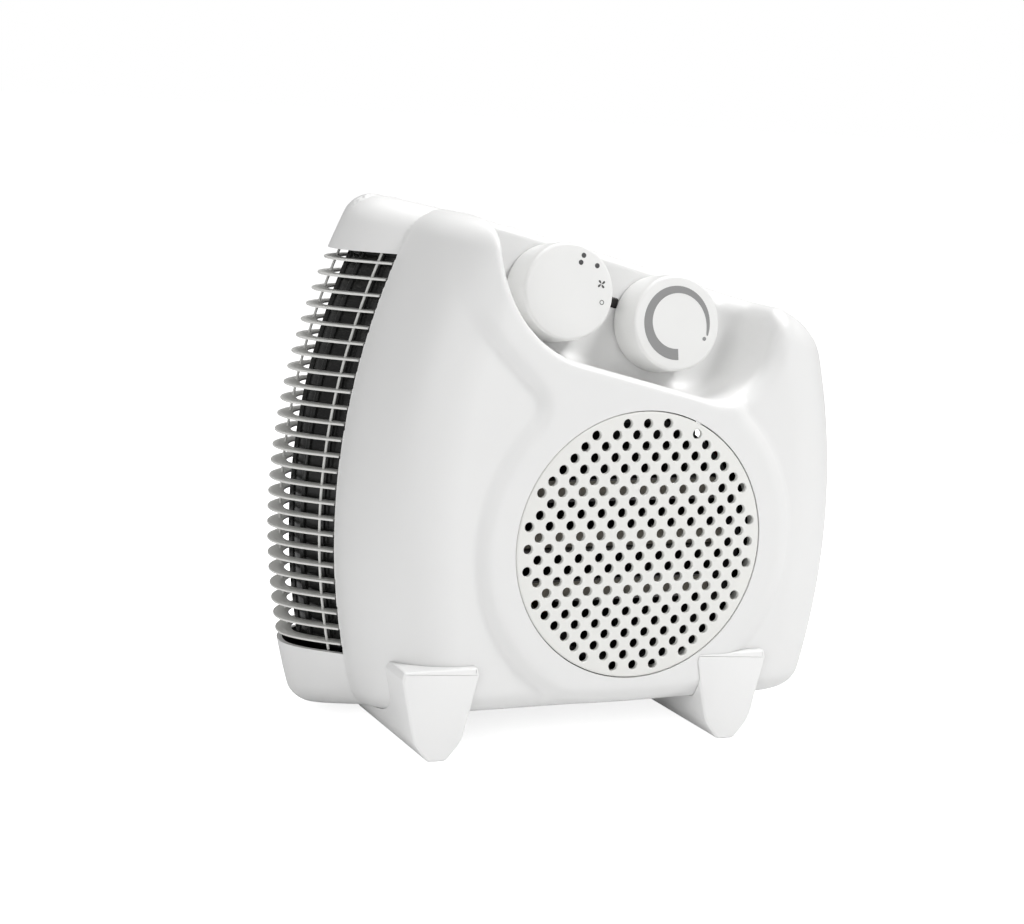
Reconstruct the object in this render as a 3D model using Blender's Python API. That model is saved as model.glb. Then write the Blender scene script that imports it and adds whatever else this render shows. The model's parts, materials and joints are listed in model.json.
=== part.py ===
"""A small ceramic fan heater: two shells with side louvres, a round outlet grille,
two knobs in a scooped panel, and the heater, fan and motor behind them.

Metres, +Z up, the front looks along -Y, and the origin is on the floor at the middle.
Depths are counted from the face of the outlet grille, backwards, and are turned into
Y by at()."""

import math

import bmesh
import bpy
from mathutils import Matrix, Vector

# Sizes that the shell is built round
GROUND_GAP = 0.019  # under the front edge
GRILLE_RADIUS = 0.0585
KNOB_RADIUS = 0.021
BELOW_GRILLE = 0.0125
ABOVE_GRILLE = 0.0215  # besides the knobs' own diameter

# Shell outline, seen from the front
REAR_WIDTH = 0.277  # widest part of the louvres, behind the seam
LOUVRE_FLARE = 0.0205  # each louvre stands out beyond the front shell by this much
SIDE_CURVE = 0.038  # width of each rounded side of the front shell
SEAM_WIDTH = REAR_WIDTH - 2 * LOUVRE_FLARE  # widest part of the front shell, at its seam
FACE_WIDTH = SEAM_WIDTH - 2 * SIDE_CURVE  # flat part of the front face
GRILLE_X = 0.004
GRILLE_HEIGHT = GROUND_GAP + BELOW_GRILLE + GRILLE_RADIUS
TOP_HEIGHT = GRILLE_HEIGHT + GRILLE_RADIUS + 2 * KNOB_RADIUS + ABOVE_GRILLE  # at the middle
TOP_SLANT = math.radians(14.0)  # the top runs down towards +X
TOP_ARCH = 0.004
WIDEST_HEIGHT = GRILLE_HEIGHT + 0.005
TOP_SAG = 0.02462  # each side draws in by this much at the top edge's height
SIDE_RADIUS = (TOP_HEIGHT - WIDEST_HEIGHT) ** 2 / (2 * TOP_SAG)  # the sides bow outwards
SHOULDER_RADIUS = 0.014
LOWER_CORNER_RADIUS = 0.018

# Shell depths, from the grille's face
FACE_DEPTH = 0.003
SEAM_DEPTH = 0.050
BACK_DEPTH = 0.108
REAR_CORNER_RADIUS = 0.030
FLARE_DEPTH = BACK_DEPTH - REAR_CORNER_RADIUS  # the louvres are widest here
REAR_DROP = 0.01785  # the underside falls by this much from front to back
UNDERSIDE_FALL = REAR_DROP / (BACK_DEPTH - FACE_DEPTH)
FRONT_EDGE_RADIUS = 0.012
BACK_EDGE_RADIUS = 0.010
WALL = 0.0024
GAP = 0.0003  # between pieces that touch
PAST = 0.01  # how far a cutter runs past what it cuts
FRONT_DEPTH = -0.0005  # the feet's front faces

# Outlet grille
GRILLE_THICKNESS = 0.002
GRILLE_SKIRT = 0.005
HOLE_STEP = 0.00483  # half the pitch of the square pattern, which stands on its corner
HOLE_RADIUS = 0.0021
HOLE_MARGIN = 0.9  # hole steps kept free inside the rim
GRILLE_EDGE = 0.0006  # chamfer of the plate's rim
SKIRT_WALL = 0.0016
BOSS_WIDTH = 0.005  # of the raised ring round the plate
BOSS_RADIUS = GRILLE_RADIUS + BOSS_WIDTH
BOSS_CHAMFER = 0.002
SEAT_WIDTH = 0.0035
SEAT_DEPTH = GRILLE_THICKNESS + GRILLE_SKIRT + 0.0005
SEAT_THICKNESS = 0.0025

# Knobs and their scooped panel
KNOB_HEIGHT = 0.020
KNOB_DRAFT = 0.0004  # each knob is wider at its foot
KNOB_EDGE = 0.0025  # rounding of its front edge
KNOBS_APART = 0.010
KNOB_SPACING = 2 * KNOB_RADIUS + KNOBS_APART
KNOB_MIDDLE_X = -0.001
KNOB_DROP = KNOB_RADIUS + 0.003  # from the top edge to the foot of each knob's axis
KNOB_CLEARANCE = 0.0008
PANEL_DEPTH = 0.040
PANEL_TILT = math.radians(8.0)
SCOOP_BORDER = 0.014  # of the face, beside the scoop
SCOOP_HALF_WIDTH = FACE_WIDTH / 2 - SCOOP_BORDER
SCOOP_BELOW = KNOB_RADIUS + 0.009
SCOOP_LEFT_ROUND = 0.030  # length of each rounded lower corner, along its sides
SCOOP_RIGHT_ROUND = 0.046
SPINDLE_RADIUS = 0.003
SPINDLE_IN_KNOB = 0.012
SPINDLE_CLEARANCE = 0.001  # in the panel's hole
SWITCH_DEPTH = 0.018
SWITCH_WIDTH = 0.026
LAMP_LENGTH = 0.010
LENS_PROUD = 0.0006
LENS_WIDTH = 0.010
LENS_SHIFT = (0.002, 0.0035)  # right of and above the middle between the knobs
LENS_HEIGHT = 0.0042

# Side louvres
FIN_PITCH = 0.0069
FIN_THICKNESS = 0.0013
FIN_DEPTH = 0.007
LOUVRE_BOTTOM = 0.035
LOUVRE_BELOW_TOP = 0.025
LOUVRE_WRAP = 0.0225  # the louvres run this far past the rear corners
LOUVRE_BACK_X = REAR_WIDTH / 2 - REAR_CORNER_RADIUS - LOUVRE_WRAP
RIB_WIDTH = 0.0016
RIB_PLACES = (0.12, 0.5, 0.965)  # along each fin
GUARD_INSET = 0.0095
GUARD_BAR = 0.0024
GUARD_BARS = 7
GUARD_SPAN = (0.06, 0.80)  # first and last upright, along the fin
GUARD_MARGIN = 0.001  # above and below the guard

# Feet
FOOT_X = {"left": -0.086, "right": 0.053}
FOOT_WIDTH = 0.035
FOOT_FLAT = 0.008
FOOT_TOP = 0.040
FOOT_LENGTH = 0.085
FOOT_SCREW_DEPTHS = {"front": 0.024, "rear": 0.066}
FOOT_SCREW_SEAT = 0.004
FOOT_SCREW_GRIP = 0.004  # beyond the shell's wall

# Heater, fan and motor, on the grille's axis
DUCT_INSET = 0.0038
DUCT_RADIUS = GRILLE_RADIUS - DUCT_INSET
DUCT_WALL = 0.0022
DUCT_START = SEAT_DEPTH + SEAT_THICKNESS + GAP
DUCT_LENGTH = 0.0254
DUCT_BAR_X = 0.020
DUCT_BAR_WIDTH = 0.004
DUCT_BAR_THICKNESS = 0.0022
ELEMENT_COUNT = 4
ELEMENT_HEIGHT = 0.014
ELEMENT_SPACING = 0.022
ELEMENT_DEPTH = 0.014
ELEMENT_LENGTH = 0.016
ELEMENT_END_GAP = 0.001
STRIP_INSET = 0.004
CUTOUT_RADIUS = 0.0055
CUTOUT_HEIGHT = 0.0055
CUTOUT_X = -0.022
CUTOUT_DEPTH = 0.022
FUSE_RADIUS = 0.0022
FUSE_LENGTH = 0.014
FUSE_X = -0.046
SHROUD_START = DUCT_START + DUCT_LENGTH + GAP
SHROUD_LENGTH = 0.026
TAB_REACH = 0.006  # the shroud's ears stand out by this much
TAB_HALF_HEIGHT = 0.006
TAB_THICKNESS = 0.012
TAB_SCREW_OUT = 0.0025
FAN_TIP_GAP = 0.0035
FAN_RADIUS = DUCT_RADIUS - DUCT_WALL - FAN_TIP_GAP
HUB_RADIUS = 0.012
FAN_START = SHROUD_START + 0.0075
FAN_LENGTH = 0.0155
FAN_BLADES = 5
BLADE_THICKNESS = 0.0014
BLADE_PITCH = (42, 26)  # degrees, at the hub and at the tip
BLADE_CHORD = (0.013, 0.012)  # at the hub, and how much it grows
CLIP_LENGTH = 0.0016
CLIP_WIDTH = 0.003
SHAFT_RADIUS = 0.0025
SHAFT_FRONT = 0.005  # of the shaft, in front of the fan
SHAFT_BACK = 0.009  # and behind the stator
RUNNING_GAP = 0.0004
BRACKET_THICKNESS = 0.003
BRACKET_HALF_HEIGHT = 0.007
BRACKET_SCREW_LENGTH = 0.010
BEARING_RADIUS = 0.0075
BEARING_LENGTH = 0.0062
STRAP_THICKNESS = 0.0015
STRAP_HALF_HEIGHT = 0.006
STATOR_START = SHROUD_START + SHROUD_LENGTH + 0.0135
STATOR_LENGTH = 0.014
STATOR_HALF_WIDTH = 0.028
STATOR_TOP = 0.022  # above the shaft
STATOR_BOTTOM = -0.038
STATOR_WINDOW = (0.018, -0.030, -0.018)  # half width, bottom and top
COIL = (0.0145, -0.046, -0.0195)  # half width, bottom and top
COIL_OVERHANG = 0.006
ROTOR_RADIUS = 0.0128

# Screws and the cord's inlet
SCREW_RADIUS = 0.0015
SCREW_HEAD_RADIUS = 0.0032
SCREW_HEAD_LENGTH = 0.002
SCREW_BORE = SCREW_RADIUS + GAP
POST_RADIUS = 0.0045
POST_JOINT_DEPTH = 0.058
POST_LOWER_STEP = 0.012  # beyond the scoop's side
POST_LOWER_HEIGHT = 0.042
POST_SIDE_GAP = 0.0015
POST_BELOW_TOP = 0.026
SHELL_SCREW_LENGTH = 0.066
SHELL_SCREW_WELL = 0.006
GLAND_RADIUS = 0.0055
GLAND_BORE = 0.0032
GLAND_X = 0.058
GLAND_HEIGHT = 0.030
GLAND_FLANGE = (0.0022, 0.002)  # how far it stands out, and its thickness
GLAND_NECK = 0.010
CLAMP_START = BACK_DEPTH - 0.034
CLAMP_LENGTH = 0.010
CLAMP_HALF_WIDTH = 0.010
CLAMP_OPENING = 0.0045  # above and below the cord's line
CLAMP_BASE_HEIGHT = 0.005
CLAMP_BAR_HEIGHT = 0.0025
BLOCK_X = (-0.016, 0.008)  # of the terminal block, from the gland
BLOCK_HALF_HEIGHT = 0.005
BLOCK_DEPTHS = (0.052, 0.066)
WIRE_RADIUS = 0.0011

MID_DEPTH = (FRONT_DEPTH + BACK_DEPTH) / 2
OUT = Matrix.Rotation(math.radians(90), 4, "X")  # turns a piece's +Z towards the front, -Y
LEFT, RIGHT = -1, 1


def at(depth):
    """The Y of a depth counted from the grille's face."""
    return depth - MID_DEPTH


# Materials

def material(name, colour, roughness, metallic=0.0):
    made = bpy.data.materials.new(name)
    made.use_nodes = True
    shader = made.node_tree.nodes["Principled BSDF"]
    shader.inputs["Base Color"].default_value = (*colour, 1.0)
    shader.inputs["Roughness"].default_value = roughness
    shader.inputs["Metallic"].default_value = metallic
    return made


for old in list(bpy.data.objects):
    bpy.data.objects.remove(old)

WHITE = material("white_abs", (0.86, 0.86, 0.85), 0.38)
BLACK = material("black_plastic", (0.02, 0.02, 0.02), 0.3)
LENS = material("smoked_lens", (0.03, 0.02, 0.02), 0.1)
CERAMIC = material("heater_ceramic", (0.55, 0.52, 0.46), 0.8)
ALUMINIUM = material("aluminium", (0.78, 0.79, 0.8), 0.35, 1.0)
STEEL = material("zinc_steel", (0.6, 0.61, 0.62), 0.35, 1.0)
LAMINATION = material("lamination_steel", (0.33, 0.33, 0.34), 0.5, 1.0)
COPPER = material("winding_tape", (0.55, 0.3, 0.12), 0.5)
BRASS = material("brass", (0.75, 0.6, 0.3), 0.35, 1.0)
GREY = material("grey_nylon", (0.45, 0.45, 0.44), 0.5)
RED = material("red_sleeve", (0.5, 0.05, 0.04), 0.5)
BLUE = material("blue_sleeve", (0.05, 0.12, 0.45), 0.5)


# Mesh helpers

def finish(mesh_data, name, finish_material, smooth=30):
    bmesh.ops.recalc_face_normals(mesh_data, faces=mesh_data.faces)
    mesh = bpy.data.meshes.new(name)
    mesh_data.to_mesh(mesh)
    mesh_data.free()
    mesh.shade_smooth()
    mesh.set_sharp_from_angle(angle=math.radians(smooth))
    obj = bpy.data.objects.new(name, mesh)
    bpy.context.scene.collection.objects.link(obj)
    if finish_material:
        mesh.materials.append(finish_material)
    return obj


def add_rings(mesh_data, rings):
    """A closed tube through rings of points, with a flat cap at each end."""
    loops = [[mesh_data.verts.new(point) for point in ring] for ring in rings]
    count = len(loops[0])
    for first, second in zip(loops, loops[1:]):
        for i in range(count):
            j = (i + 1) % count
            mesh_data.faces.new((first[i], first[j], second[j], second[i]))
    mesh_data.faces.new(loops[0][::-1])
    mesh_data.faces.new(loops[-1])


def loft(name, rings, finish_material=None):
    mesh_data = bmesh.new()
    add_rings(mesh_data, rings)
    return finish(mesh_data, name, finish_material)


def prisms(name, outlines, place, finish_material=None):
    """Straight prisms: each outline is (points, low, high), and place(a, b, height) gives a point."""
    mesh_data = bmesh.new()
    for points, low, high in outlines:
        add_rings(mesh_data, [[place(a, b, end) for a, b in points] for end in (low, high)])
    return finish(mesh_data, name, finish_material)


def along_y(a, b, height):
    return Vector((a, at(height), b))


def along_z(a, b, height):
    return Vector((a, at(b), height))


def upright(a, b, height):
    return Vector((a, b, height))


def circle(x, z, radius, sides, start=0.0):
    turns = (start + 2 * math.pi * i / sides for i in range(sides))
    return [(x + radius * math.cos(turn), z + radius * math.sin(turn)) for turn in turns]


def rectangle(left, right, low, high):
    return [(left, low), (right, low), (right, high), (left, high)]


def revolve(name, profile, sides, finish_material=None, place=OUT, x=0.0, z=0.0):
    """Turns (radius, height) points about an axis; a profile that doesn't touch it is a ring."""
    mesh_data = bmesh.new()
    loops = []
    for radius, height in profile:
        if radius == 0.0:
            loops.append([mesh_data.verts.new((0, 0, height))])
            continue
        points = circle(0, 0, radius, sides)
        loops.append([mesh_data.verts.new((a, b, height)) for a, b in points])
    closed = profile[0][0] > 0.0
    pairs = list(zip(loops, loops[1:] + loops[:1] if closed else loops[1:]))
    for first, second in pairs:
        for i in range(sides):
            j = (i + 1) % sides
            corners = [first[i % len(first)], first[j % len(first)]]
            corners += [second[j % len(second)], second[i % len(second)]]
            mesh_data.faces.new(list(dict.fromkeys(corners)))
    mesh_data.transform(Matrix.Translation((x, 0, z)) @ place)
    return finish(mesh_data, name, finish_material)


def depth_profile(points):
    """(radius, depth) points for revolve, whose height runs towards the front."""
    return [(radius, -at(depth)) for radius, depth in points]


def boolean(obj, other, operation):
    modifier = obj.modifiers.new(f"{operation.lower()} {other.name}", "BOOLEAN")
    modifier.operation = operation
    modifier.object = other
    other.hide_render = True
    other.display_type = "WIRE"
    return obj


def cut(obj, *cutters):
    for cutter in cutters:
        boolean(obj, cutter, "DIFFERENCE")
    return obj


def join(obj, *others):
    for other in others:
        boolean(obj, other, "UNION")
    return obj


def parent(obj, empty):
    obj.parent = empty
    return obj


# Shell shape

def side_sag(height):
    return (height - WIDEST_HEIGHT) ** 2 / (2 * SIDE_RADIUS)


def half_width(depth):
    """Half the width at a depth, at the height where the body is widest."""
    face, seam, rear = FACE_WIDTH / 2, SEAM_WIDTH / 2, REAR_WIDTH / 2
    if depth <= SEAM_DEPTH:
        share = (SEAM_DEPTH - depth) / (SEAM_DEPTH - FACE_DEPTH)
        return face + (seam - face) * math.sqrt(max(0.0, 1 - share**2))
    if depth <= FLARE_DEPTH:
        share = (depth - SEAM_DEPTH) / (FLARE_DEPTH - SEAM_DEPTH)
        return seam + (rear - seam) * math.sin(share * math.pi / 2)
    past = min(depth - FLARE_DEPTH, REAR_CORNER_RADIUS)
    return rear - REAR_CORNER_RADIUS + math.sqrt(REAR_CORNER_RADIUS**2 - past**2)


def edge_drop(depth):
    """How far the rounded front and back edges fall short of the full height."""
    for radius, past in (
        (FRONT_EDGE_RADIUS, FACE_DEPTH + FRONT_EDGE_RADIUS - depth),
        (BACK_EDGE_RADIUS, depth - BACK_DEPTH + BACK_EDGE_RADIUS),
    ):
        if past > 0:
            return radius - math.sqrt(max(0.0, radius**2 - past**2))
    return 0.0


def top_height(x):
    arch = TOP_ARCH * (1 - (2 * x / SEAM_WIDTH) ** 2)
    return TOP_HEIGHT - TOP_ARCH + arch - math.tan(TOP_SLANT) * x


def bottom_height(depth):
    return GROUND_GAP - UNDERSIDE_FALL * (depth - FACE_DEPTH)


def corner(before, point, after, radius, steps=3):
    """Points of a rounded corner at point, between its neighbours on the outline."""
    start = point + (before - point).normalized() * radius
    end = point + (after - point).normalized() * radius
    shares = (i / steps for i in range(steps + 1))
    return [start.lerp(point, s).lerp(point.lerp(end, s), s) for s in shares]


def shell_ring(depth, inset=0.0):
    """The body's outline at a depth, as points (x, y, z) that go round it."""
    width = half_width(depth) - inset
    drop = edge_drop(depth) + inset
    low = bottom_height(depth) + drop

    def side(sign, height):
        return Vector((sign * (width - side_sag(height)), height))

    def top(x):
        return Vector((x, top_height(x) - drop))

    def shoulder(sign):
        point = side(sign, TOP_HEIGHT)
        for _ in range(20):
            point = side(sign, top(point.x).y)
        return point

    corners = {sign: (side(sign, low), shoulder(sign)) for sign in (LEFT, RIGHT)}
    outline = []
    for sign, going_up in ((LEFT, True), (RIGHT, False)):
        foot, head = corners[sign]
        heights = [foot.y + (head.y - foot.y) * share for share in (0.2, 0.4, 0.6, 0.8)]
        inner_top = top(head.x * 0.6)
        inner_low = Vector((foot.x * 0.6, low))
        lower = corner(inner_low, foot, side(sign, heights[0]), LOWER_CORNER_RADIUS)
        upper = corner(side(sign, heights[-1]), head, inner_top, SHOULDER_RADIUS)
        run = lower + [side(sign, height) for height in heights] + upper
        outline += run if going_up else run[::-1]
        if going_up:
            right_head = corners[RIGHT][1]
            span = [head.x + (right_head.x - head.x) * share for share in (0.25, 0.5, 0.75)]
            outline += [top(x) for x in span]
    return [(point.x, at(depth), point.y) for point in outline]


def shell_rings(start, end, inset=0.0, steps=6):
    """Rings from start to end, closer together where the edges round off."""
    shares = [0.5 - 0.5 * math.cos(math.pi * i / steps) for i in range(steps + 1)]
    return [shell_ring(start + (end - start) * share, inset) for share in shares]


# The scooped panel and the knobs' frames

def knob_x(sign):
    return KNOB_MIDDLE_X + sign * KNOB_SPACING / 2


def knob_height(sign):
    return top_height(knob_x(sign)) - KNOB_DROP


PANEL_HEIGHT = (knob_height(LEFT) + knob_height(RIGHT)) / 2
PANEL = Matrix.Translation((0, at(PANEL_DEPTH), PANEL_HEIGHT)) @ OUT
PANEL = PANEL @ Matrix.Rotation(-PANEL_TILT, 4, "X")


def on_panel(a, b, height):
    """A point from the panel's own x, its height up the panel and its distance out of it."""
    return PANEL @ Vector((a, b, height))


def knob_place(sign):
    """(x, height up the panel) of a knob's axis."""
    return knob_x(sign), (knob_height(sign) - PANEL_HEIGHT) / math.cos(PANEL_TILT)


def scoop_outline(margin=0.0):
    left, right = (Vector(knob_place(sign)) for sign in (LEFT, RIGHT))
    slope = (right - left).normalized()
    below = left - Vector((-slope.y, slope.x)) * (SCOOP_BELOW + margin)

    def line(x):
        return Vector((x, below.y + (x - below.x) * slope.y / slope.x))

    half = SCOOP_HALF_WIDTH + margin
    high = TOP_HEIGHT
    left_foot, right_foot = line(-half), line(half)
    left_top, right_top = Vector((-half, high)), Vector((half, high))
    points = [left_top]
    points += corner(left_top, left_foot, right_foot, SCOOP_LEFT_ROUND + margin, steps=7)
    points += corner(left_foot, right_foot, right_top, SCOOP_RIGHT_ROUND + margin, steps=7)
    points.append(right_top)
    return [tuple(point) for point in points]


# Fasteners

def screw_profile(length):
    head = SCREW_HEAD_RADIUS
    return [
        (0.0, SCREW_HEAD_LENGTH),
        (head * 0.8, SCREW_HEAD_LENGTH),
        (head, SCREW_HEAD_LENGTH * 0.5),
        (head, 0.0),
        (SCREW_RADIUS, 0.0),
        (SCREW_RADIUS, SCREW_RADIUS - length),
        (0.0, -length),
    ]


def screw(name, place, length):
    """A pan-head screw whose head's underside is at the place's origin, its shank along -Z."""
    return revolve(name, screw_profile(length), 12, STEEL, place=place)


FACING_BACK = OUT @ Matrix.Rotation(math.pi, 4, "X")


def post_places():
    """(name, x, height) of the four screws that hold the shells together."""
    low_x = SCOOP_HALF_WIDTH + POST_LOWER_STEP
    high_x = SCOOP_HALF_WIDTH + WALL + POST_RADIUS + POST_SIDE_GAP
    for side, sign in (("left", LEFT), ("right", RIGHT)):
        yield f"shell_screw_lower_{side}", sign * low_x, POST_LOWER_HEIGHT
        high_z = top_height(sign * high_x) - POST_BELOW_TOP
        yield f"shell_screw_upper_{side}", sign * high_x, high_z


def face_depth(x, height):
    """The depth of the front shell's outer face at a place on it."""
    face, seam = FACE_WIDTH / 2, SEAM_WIDTH / 2
    share = (abs(x) + side_sag(height) - face) / (seam - face)
    return SEAM_DEPTH - (SEAM_DEPTH - FACE_DEPTH) * math.sqrt(1 - min(1.0, max(0.0, share)) ** 2)


# Shells

def boss_ring():
    """The raised ring round the grille, with the seat that the grille's skirt rests on."""
    opening = GRILLE_RADIUS + GAP
    seat = opening - SEAT_WIDTH
    profile = [
        (opening, 0.0),
        (BOSS_RADIUS - BOSS_CHAMFER, 0.0),
        (BOSS_RADIUS, BOSS_CHAMFER / 2),
        (BOSS_RADIUS, DUCT_START - GAP),
        (seat, DUCT_START - GAP),
        (seat, SEAT_DEPTH),
        (opening, SEAT_DEPTH),
    ]
    return on_axis("boss_ring", profile, WHITE, 48)


def lens_outline(margin):
    half_w, half_h = LENS_WIDTH / 2 + margin, LENS_HEIGHT / 2 + margin
    left, right = (Vector(knob_place(sign)) for sign in (LEFT, RIGHT))
    centre, along = (left + right) / 2 + Vector(LENS_SHIFT), (right - left).normalized()
    across = Vector((-along.y, along.x))
    signs = ((-1, -1), (1, -1), (1, 1), (-1, 1))
    return [tuple(centre + along * a * half_w + across * b * half_h) for a, b in signs]


def front_shell():
    shell = loft("front_shell", shell_rings(FACE_DEPTH, SEAM_DEPTH), WHITE)
    cavity_rings = shell_rings(FACE_DEPTH + WALL, SEAM_DEPTH, WALL)
    cavity_rings.append([(x, y + WALL, z) for x, y, z in cavity_rings[-1]])
    cavity = loft("front_cavity", cavity_rings)
    backing = prisms("scoop_backing", [(scoop_outline(WALL), -WALL, SEAM_WIDTH)], on_panel)
    cut(cavity, backing)
    cut(shell, cavity)

    opening = circle(GRILLE_X, GRILLE_HEIGHT, GRILLE_RADIUS + BOSS_CHAMFER / 2, 48)
    cut(shell, prisms("grille_opening", [(opening, -PAST, DUCT_START)], along_y))
    posts = []
    for _, x, z in post_places():
        start = face_depth(abs(x) + POST_RADIUS, z) + WALL / 3
        posts.append((circle(x, z, POST_RADIUS, 10), start, POST_JOINT_DEPTH - GAP))
    join(shell, boss_ring(), prisms("front_posts", posts, along_y))
    bore_start = BACK_DEPTH - SHELL_SCREW_WELL - SHELL_SCREW_LENGTH - PAST / 2
    bores = []
    for _, x, z in post_places():
        bores.append((circle(x, z, SCREW_BORE, 8), bore_start, POST_JOINT_DEPTH + PAST))
    holes = [(lens_outline(GAP), -PAST, PAST)]
    for sign in (LEFT, RIGHT):
        spindle_hole = circle(*knob_place(sign), SPINDLE_RADIUS + SPINDLE_CLEARANCE, 12)
        holes.append((spindle_hole, -PAST, PAST))
    cut(shell, prisms("front_post_bores", bores, along_y))
    cut(shell, prisms("scoop", [(scoop_outline(), 0.0, SEAM_WIDTH)], on_panel))
    cut(shell, prisms("panel_holes", holes, on_panel))
    return shell


def louvre_top(sign):
    return top_height(sign * (SEAM_WIDTH / 2 - 0.018)) - LOUVRE_BELOW_TOP


def rear_shell():
    start = SEAM_DEPTH + GAP
    shell = loft("rear_shell", shell_rings(start, BACK_DEPTH), WHITE)
    cavity_rings = shell_rings(start, BACK_DEPTH - WALL, WALL)
    cavity_rings.insert(0, [(x, y - WALL, z) for x, y, z in cavity_rings[0]])
    cut(shell, loft("rear_cavity", cavity_rings))
    openings = []
    for sign in (LEFT, RIGHT):
        edges = sorted((sign * LOUVRE_BACK_X, sign * REAR_WIDTH))
        outline = rectangle(*edges, LOUVRE_BOTTOM, louvre_top(sign))
        openings.append((outline, start - PAST, BACK_DEPTH + PAST))
    cut(shell, prisms("louvre_openings", openings, along_y))

    posts, bores, wells = [], [], []
    seat = BACK_DEPTH - SHELL_SCREW_WELL
    for _, x, z in post_places():
        posts.append((circle(x, z, POST_RADIUS, 12), POST_JOINT_DEPTH, BACK_DEPTH - WALL / 2))
        bores.append((circle(x, z, SCREW_BORE, 8), POST_JOINT_DEPTH - PAST, BACK_DEPTH + PAST))
        wells.append((circle(x, z, SCREW_HEAD_RADIUS + GAP, 12), seat, BACK_DEPTH + PAST))
    join(shell, prisms("rear_posts", posts, along_y))
    cut(shell, prisms("rear_bores", bores, along_y), prisms("rear_wells", wells, along_y))
    inlet = circle(GLAND_X, GLAND_HEIGHT, GLAND_RADIUS + GAP, 20)
    cut(shell, prisms("inlet_hole", [(inlet, BACK_DEPTH - PAST, BACK_DEPTH + PAST)], along_y))
    return shell


# Louvres

def louvre_path(sign, height, inset=0.0):
    """(x, depth) points along the louvre's outer face at a height, offset inwards by inset."""
    start, end = SEAM_DEPTH + 2 * GAP, BACK_DEPTH - GAP
    shrink = (REAR_CORNER_RADIUS - inset) / REAR_CORNER_RADIUS
    corner_x = REAR_WIDTH / 2 - REAR_CORNER_RADIUS - side_sag(height)
    points = []
    for share in (0, 0.3, 0.54, 0.76, 0.92, 1.0):
        depth = start + (end - start) * share
        x = half_width(depth) - side_sag(height)
        if depth <= FLARE_DEPTH:
            points.append((x - inset, depth))
        else:
            past = (depth - FLARE_DEPTH) * shrink
            points.append((corner_x + (x - corner_x) * shrink, FLARE_DEPTH + past))
    points.append((LOUVRE_BACK_X + GAP, points[-1][1]))
    return [(sign * x, depth) for x, depth in points]


def path_point(path, share):
    """The point and the inward direction at a share of a path's length."""
    points = [Vector(point) for point in path]
    lengths = [(b - a).length for a, b in zip(points, points[1:])]
    left = share * sum(lengths)
    for a, b, length in zip(points, points[1:], lengths):
        if left <= length:
            return a.lerp(b, left / length), (b - a).normalized()
        left -= length
    return points[-1], (points[-1] - points[-2]).normalized()


def upright_bar(sign, share, inset, thickness, width, low, high, steps=5):
    """Rings of a bar that stands behind the louvre's face and follows its bow."""
    rings = []
    for i in range(steps + 1):
        height = low + (high - low) * i / steps
        middle, along = path_point(louvre_path(sign, height, inset), share)
        inwards = Vector((-along.y, along.x)) * sign
        ring = []
        for a, b in ((-1, 0), (1, 0), (1, 1), (-1, 1)):
            point = middle + along * (a * width / 2) + inwards * (b * thickness)
            ring.append((point.x, at(point.y), height))
        rings.append(ring)
    return rings


def louvre(side, sign):
    low, high = LOUVRE_BOTTOM + GAP, louvre_top(sign) - GAP
    count = int((high - low - FIN_THICKNESS) / FIN_PITCH)
    spare = (high - low - (count - 1) * FIN_PITCH) / 2
    fins = []
    for i in range(count):
        height = low + spare + i * FIN_PITCH
        outline = louvre_path(sign, height) + louvre_path(sign, height, FIN_DEPTH)[::-1]
        fins.append((outline, height - FIN_THICKNESS / 2, height + FIN_THICKNESS / 2))
    grid = prisms(f"{side}_louvre", fins, along_z, WHITE)
    mesh_data = bmesh.new()
    for share in RIB_PLACES:
        inset, thickness = FIN_DEPTH * 0.55, FIN_DEPTH * 0.4
        add_rings(mesh_data, upright_bar(sign, share, inset, thickness, RIB_WIDTH, low, high))
    return join(grid, finish(mesh_data, f"{side}_louvre_ribs", None))


def air_guard(side, sign):
    """The black cage behind the fins: upright bars between two rails."""
    low, high = LOUVRE_BOTTOM + GUARD_MARGIN, louvre_top(sign) - GUARD_MARGIN
    rails = []
    for height in (low, high):
        outer = louvre_path(sign, height, GUARD_INSET)
        inner = louvre_path(sign, height, GUARD_INSET + GUARD_BAR)
        rails.append((outer + inner[::-1], height - GUARD_BAR / 2, height + GUARD_BAR / 2))
    cage = prisms(f"{side}_air_guard", rails, along_z, BLACK)
    mesh_data = bmesh.new()
    for i in range(GUARD_BARS):
        first, last = GUARD_SPAN
        share = first + (last - first) * i / (GUARD_BARS - 1)
        inset = GUARD_INSET + GUARD_BAR * 0.1
        rings = upright_bar(sign, share, inset, GUARD_BAR * 0.8, GUARD_BAR, low, high)
        add_rings(mesh_data, rings)
    return join(cage, finish(mesh_data, f"{side}_guard_bars", None))


# Outlet grille

def hole_places():
    """Centres of the holes: a square pattern that stands on its corner, inside the rim."""
    reach = int(GRILLE_RADIUS / HOLE_STEP)
    limit = GRILLE_RADIUS / HOLE_STEP - HOLE_MARGIN
    for i in range(-reach, reach + 1):
        for j in range(-reach, reach + 1):
            if (i + j) % 2 and math.hypot(i, j) <= limit:
                yield GRILLE_X + i * HOLE_STEP, GRILLE_HEIGHT + j * HOLE_STEP


def outlet_grille():
    inner = GRILLE_RADIUS - SKIRT_WALL
    profile = [
        (0.0, 0.0),
        (GRILLE_RADIUS - GRILLE_EDGE, 0.0),
        (GRILLE_RADIUS, GRILLE_EDGE),
        (GRILLE_RADIUS, GRILLE_THICKNESS + GRILLE_SKIRT),
        (inner, GRILLE_THICKNESS + GRILLE_SKIRT),
        (inner, GRILLE_THICKNESS),
        (0.0, GRILLE_THICKNESS),
    ]
    plate = on_axis("outlet_grille", profile, WHITE, 48)
    holes = [(circle(x, z, HOLE_RADIUS, 4), -PAST, PAST) for x, z in hole_places()]
    return cut(plate, prisms("grille_holes", holes, along_y))


# Controls

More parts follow.
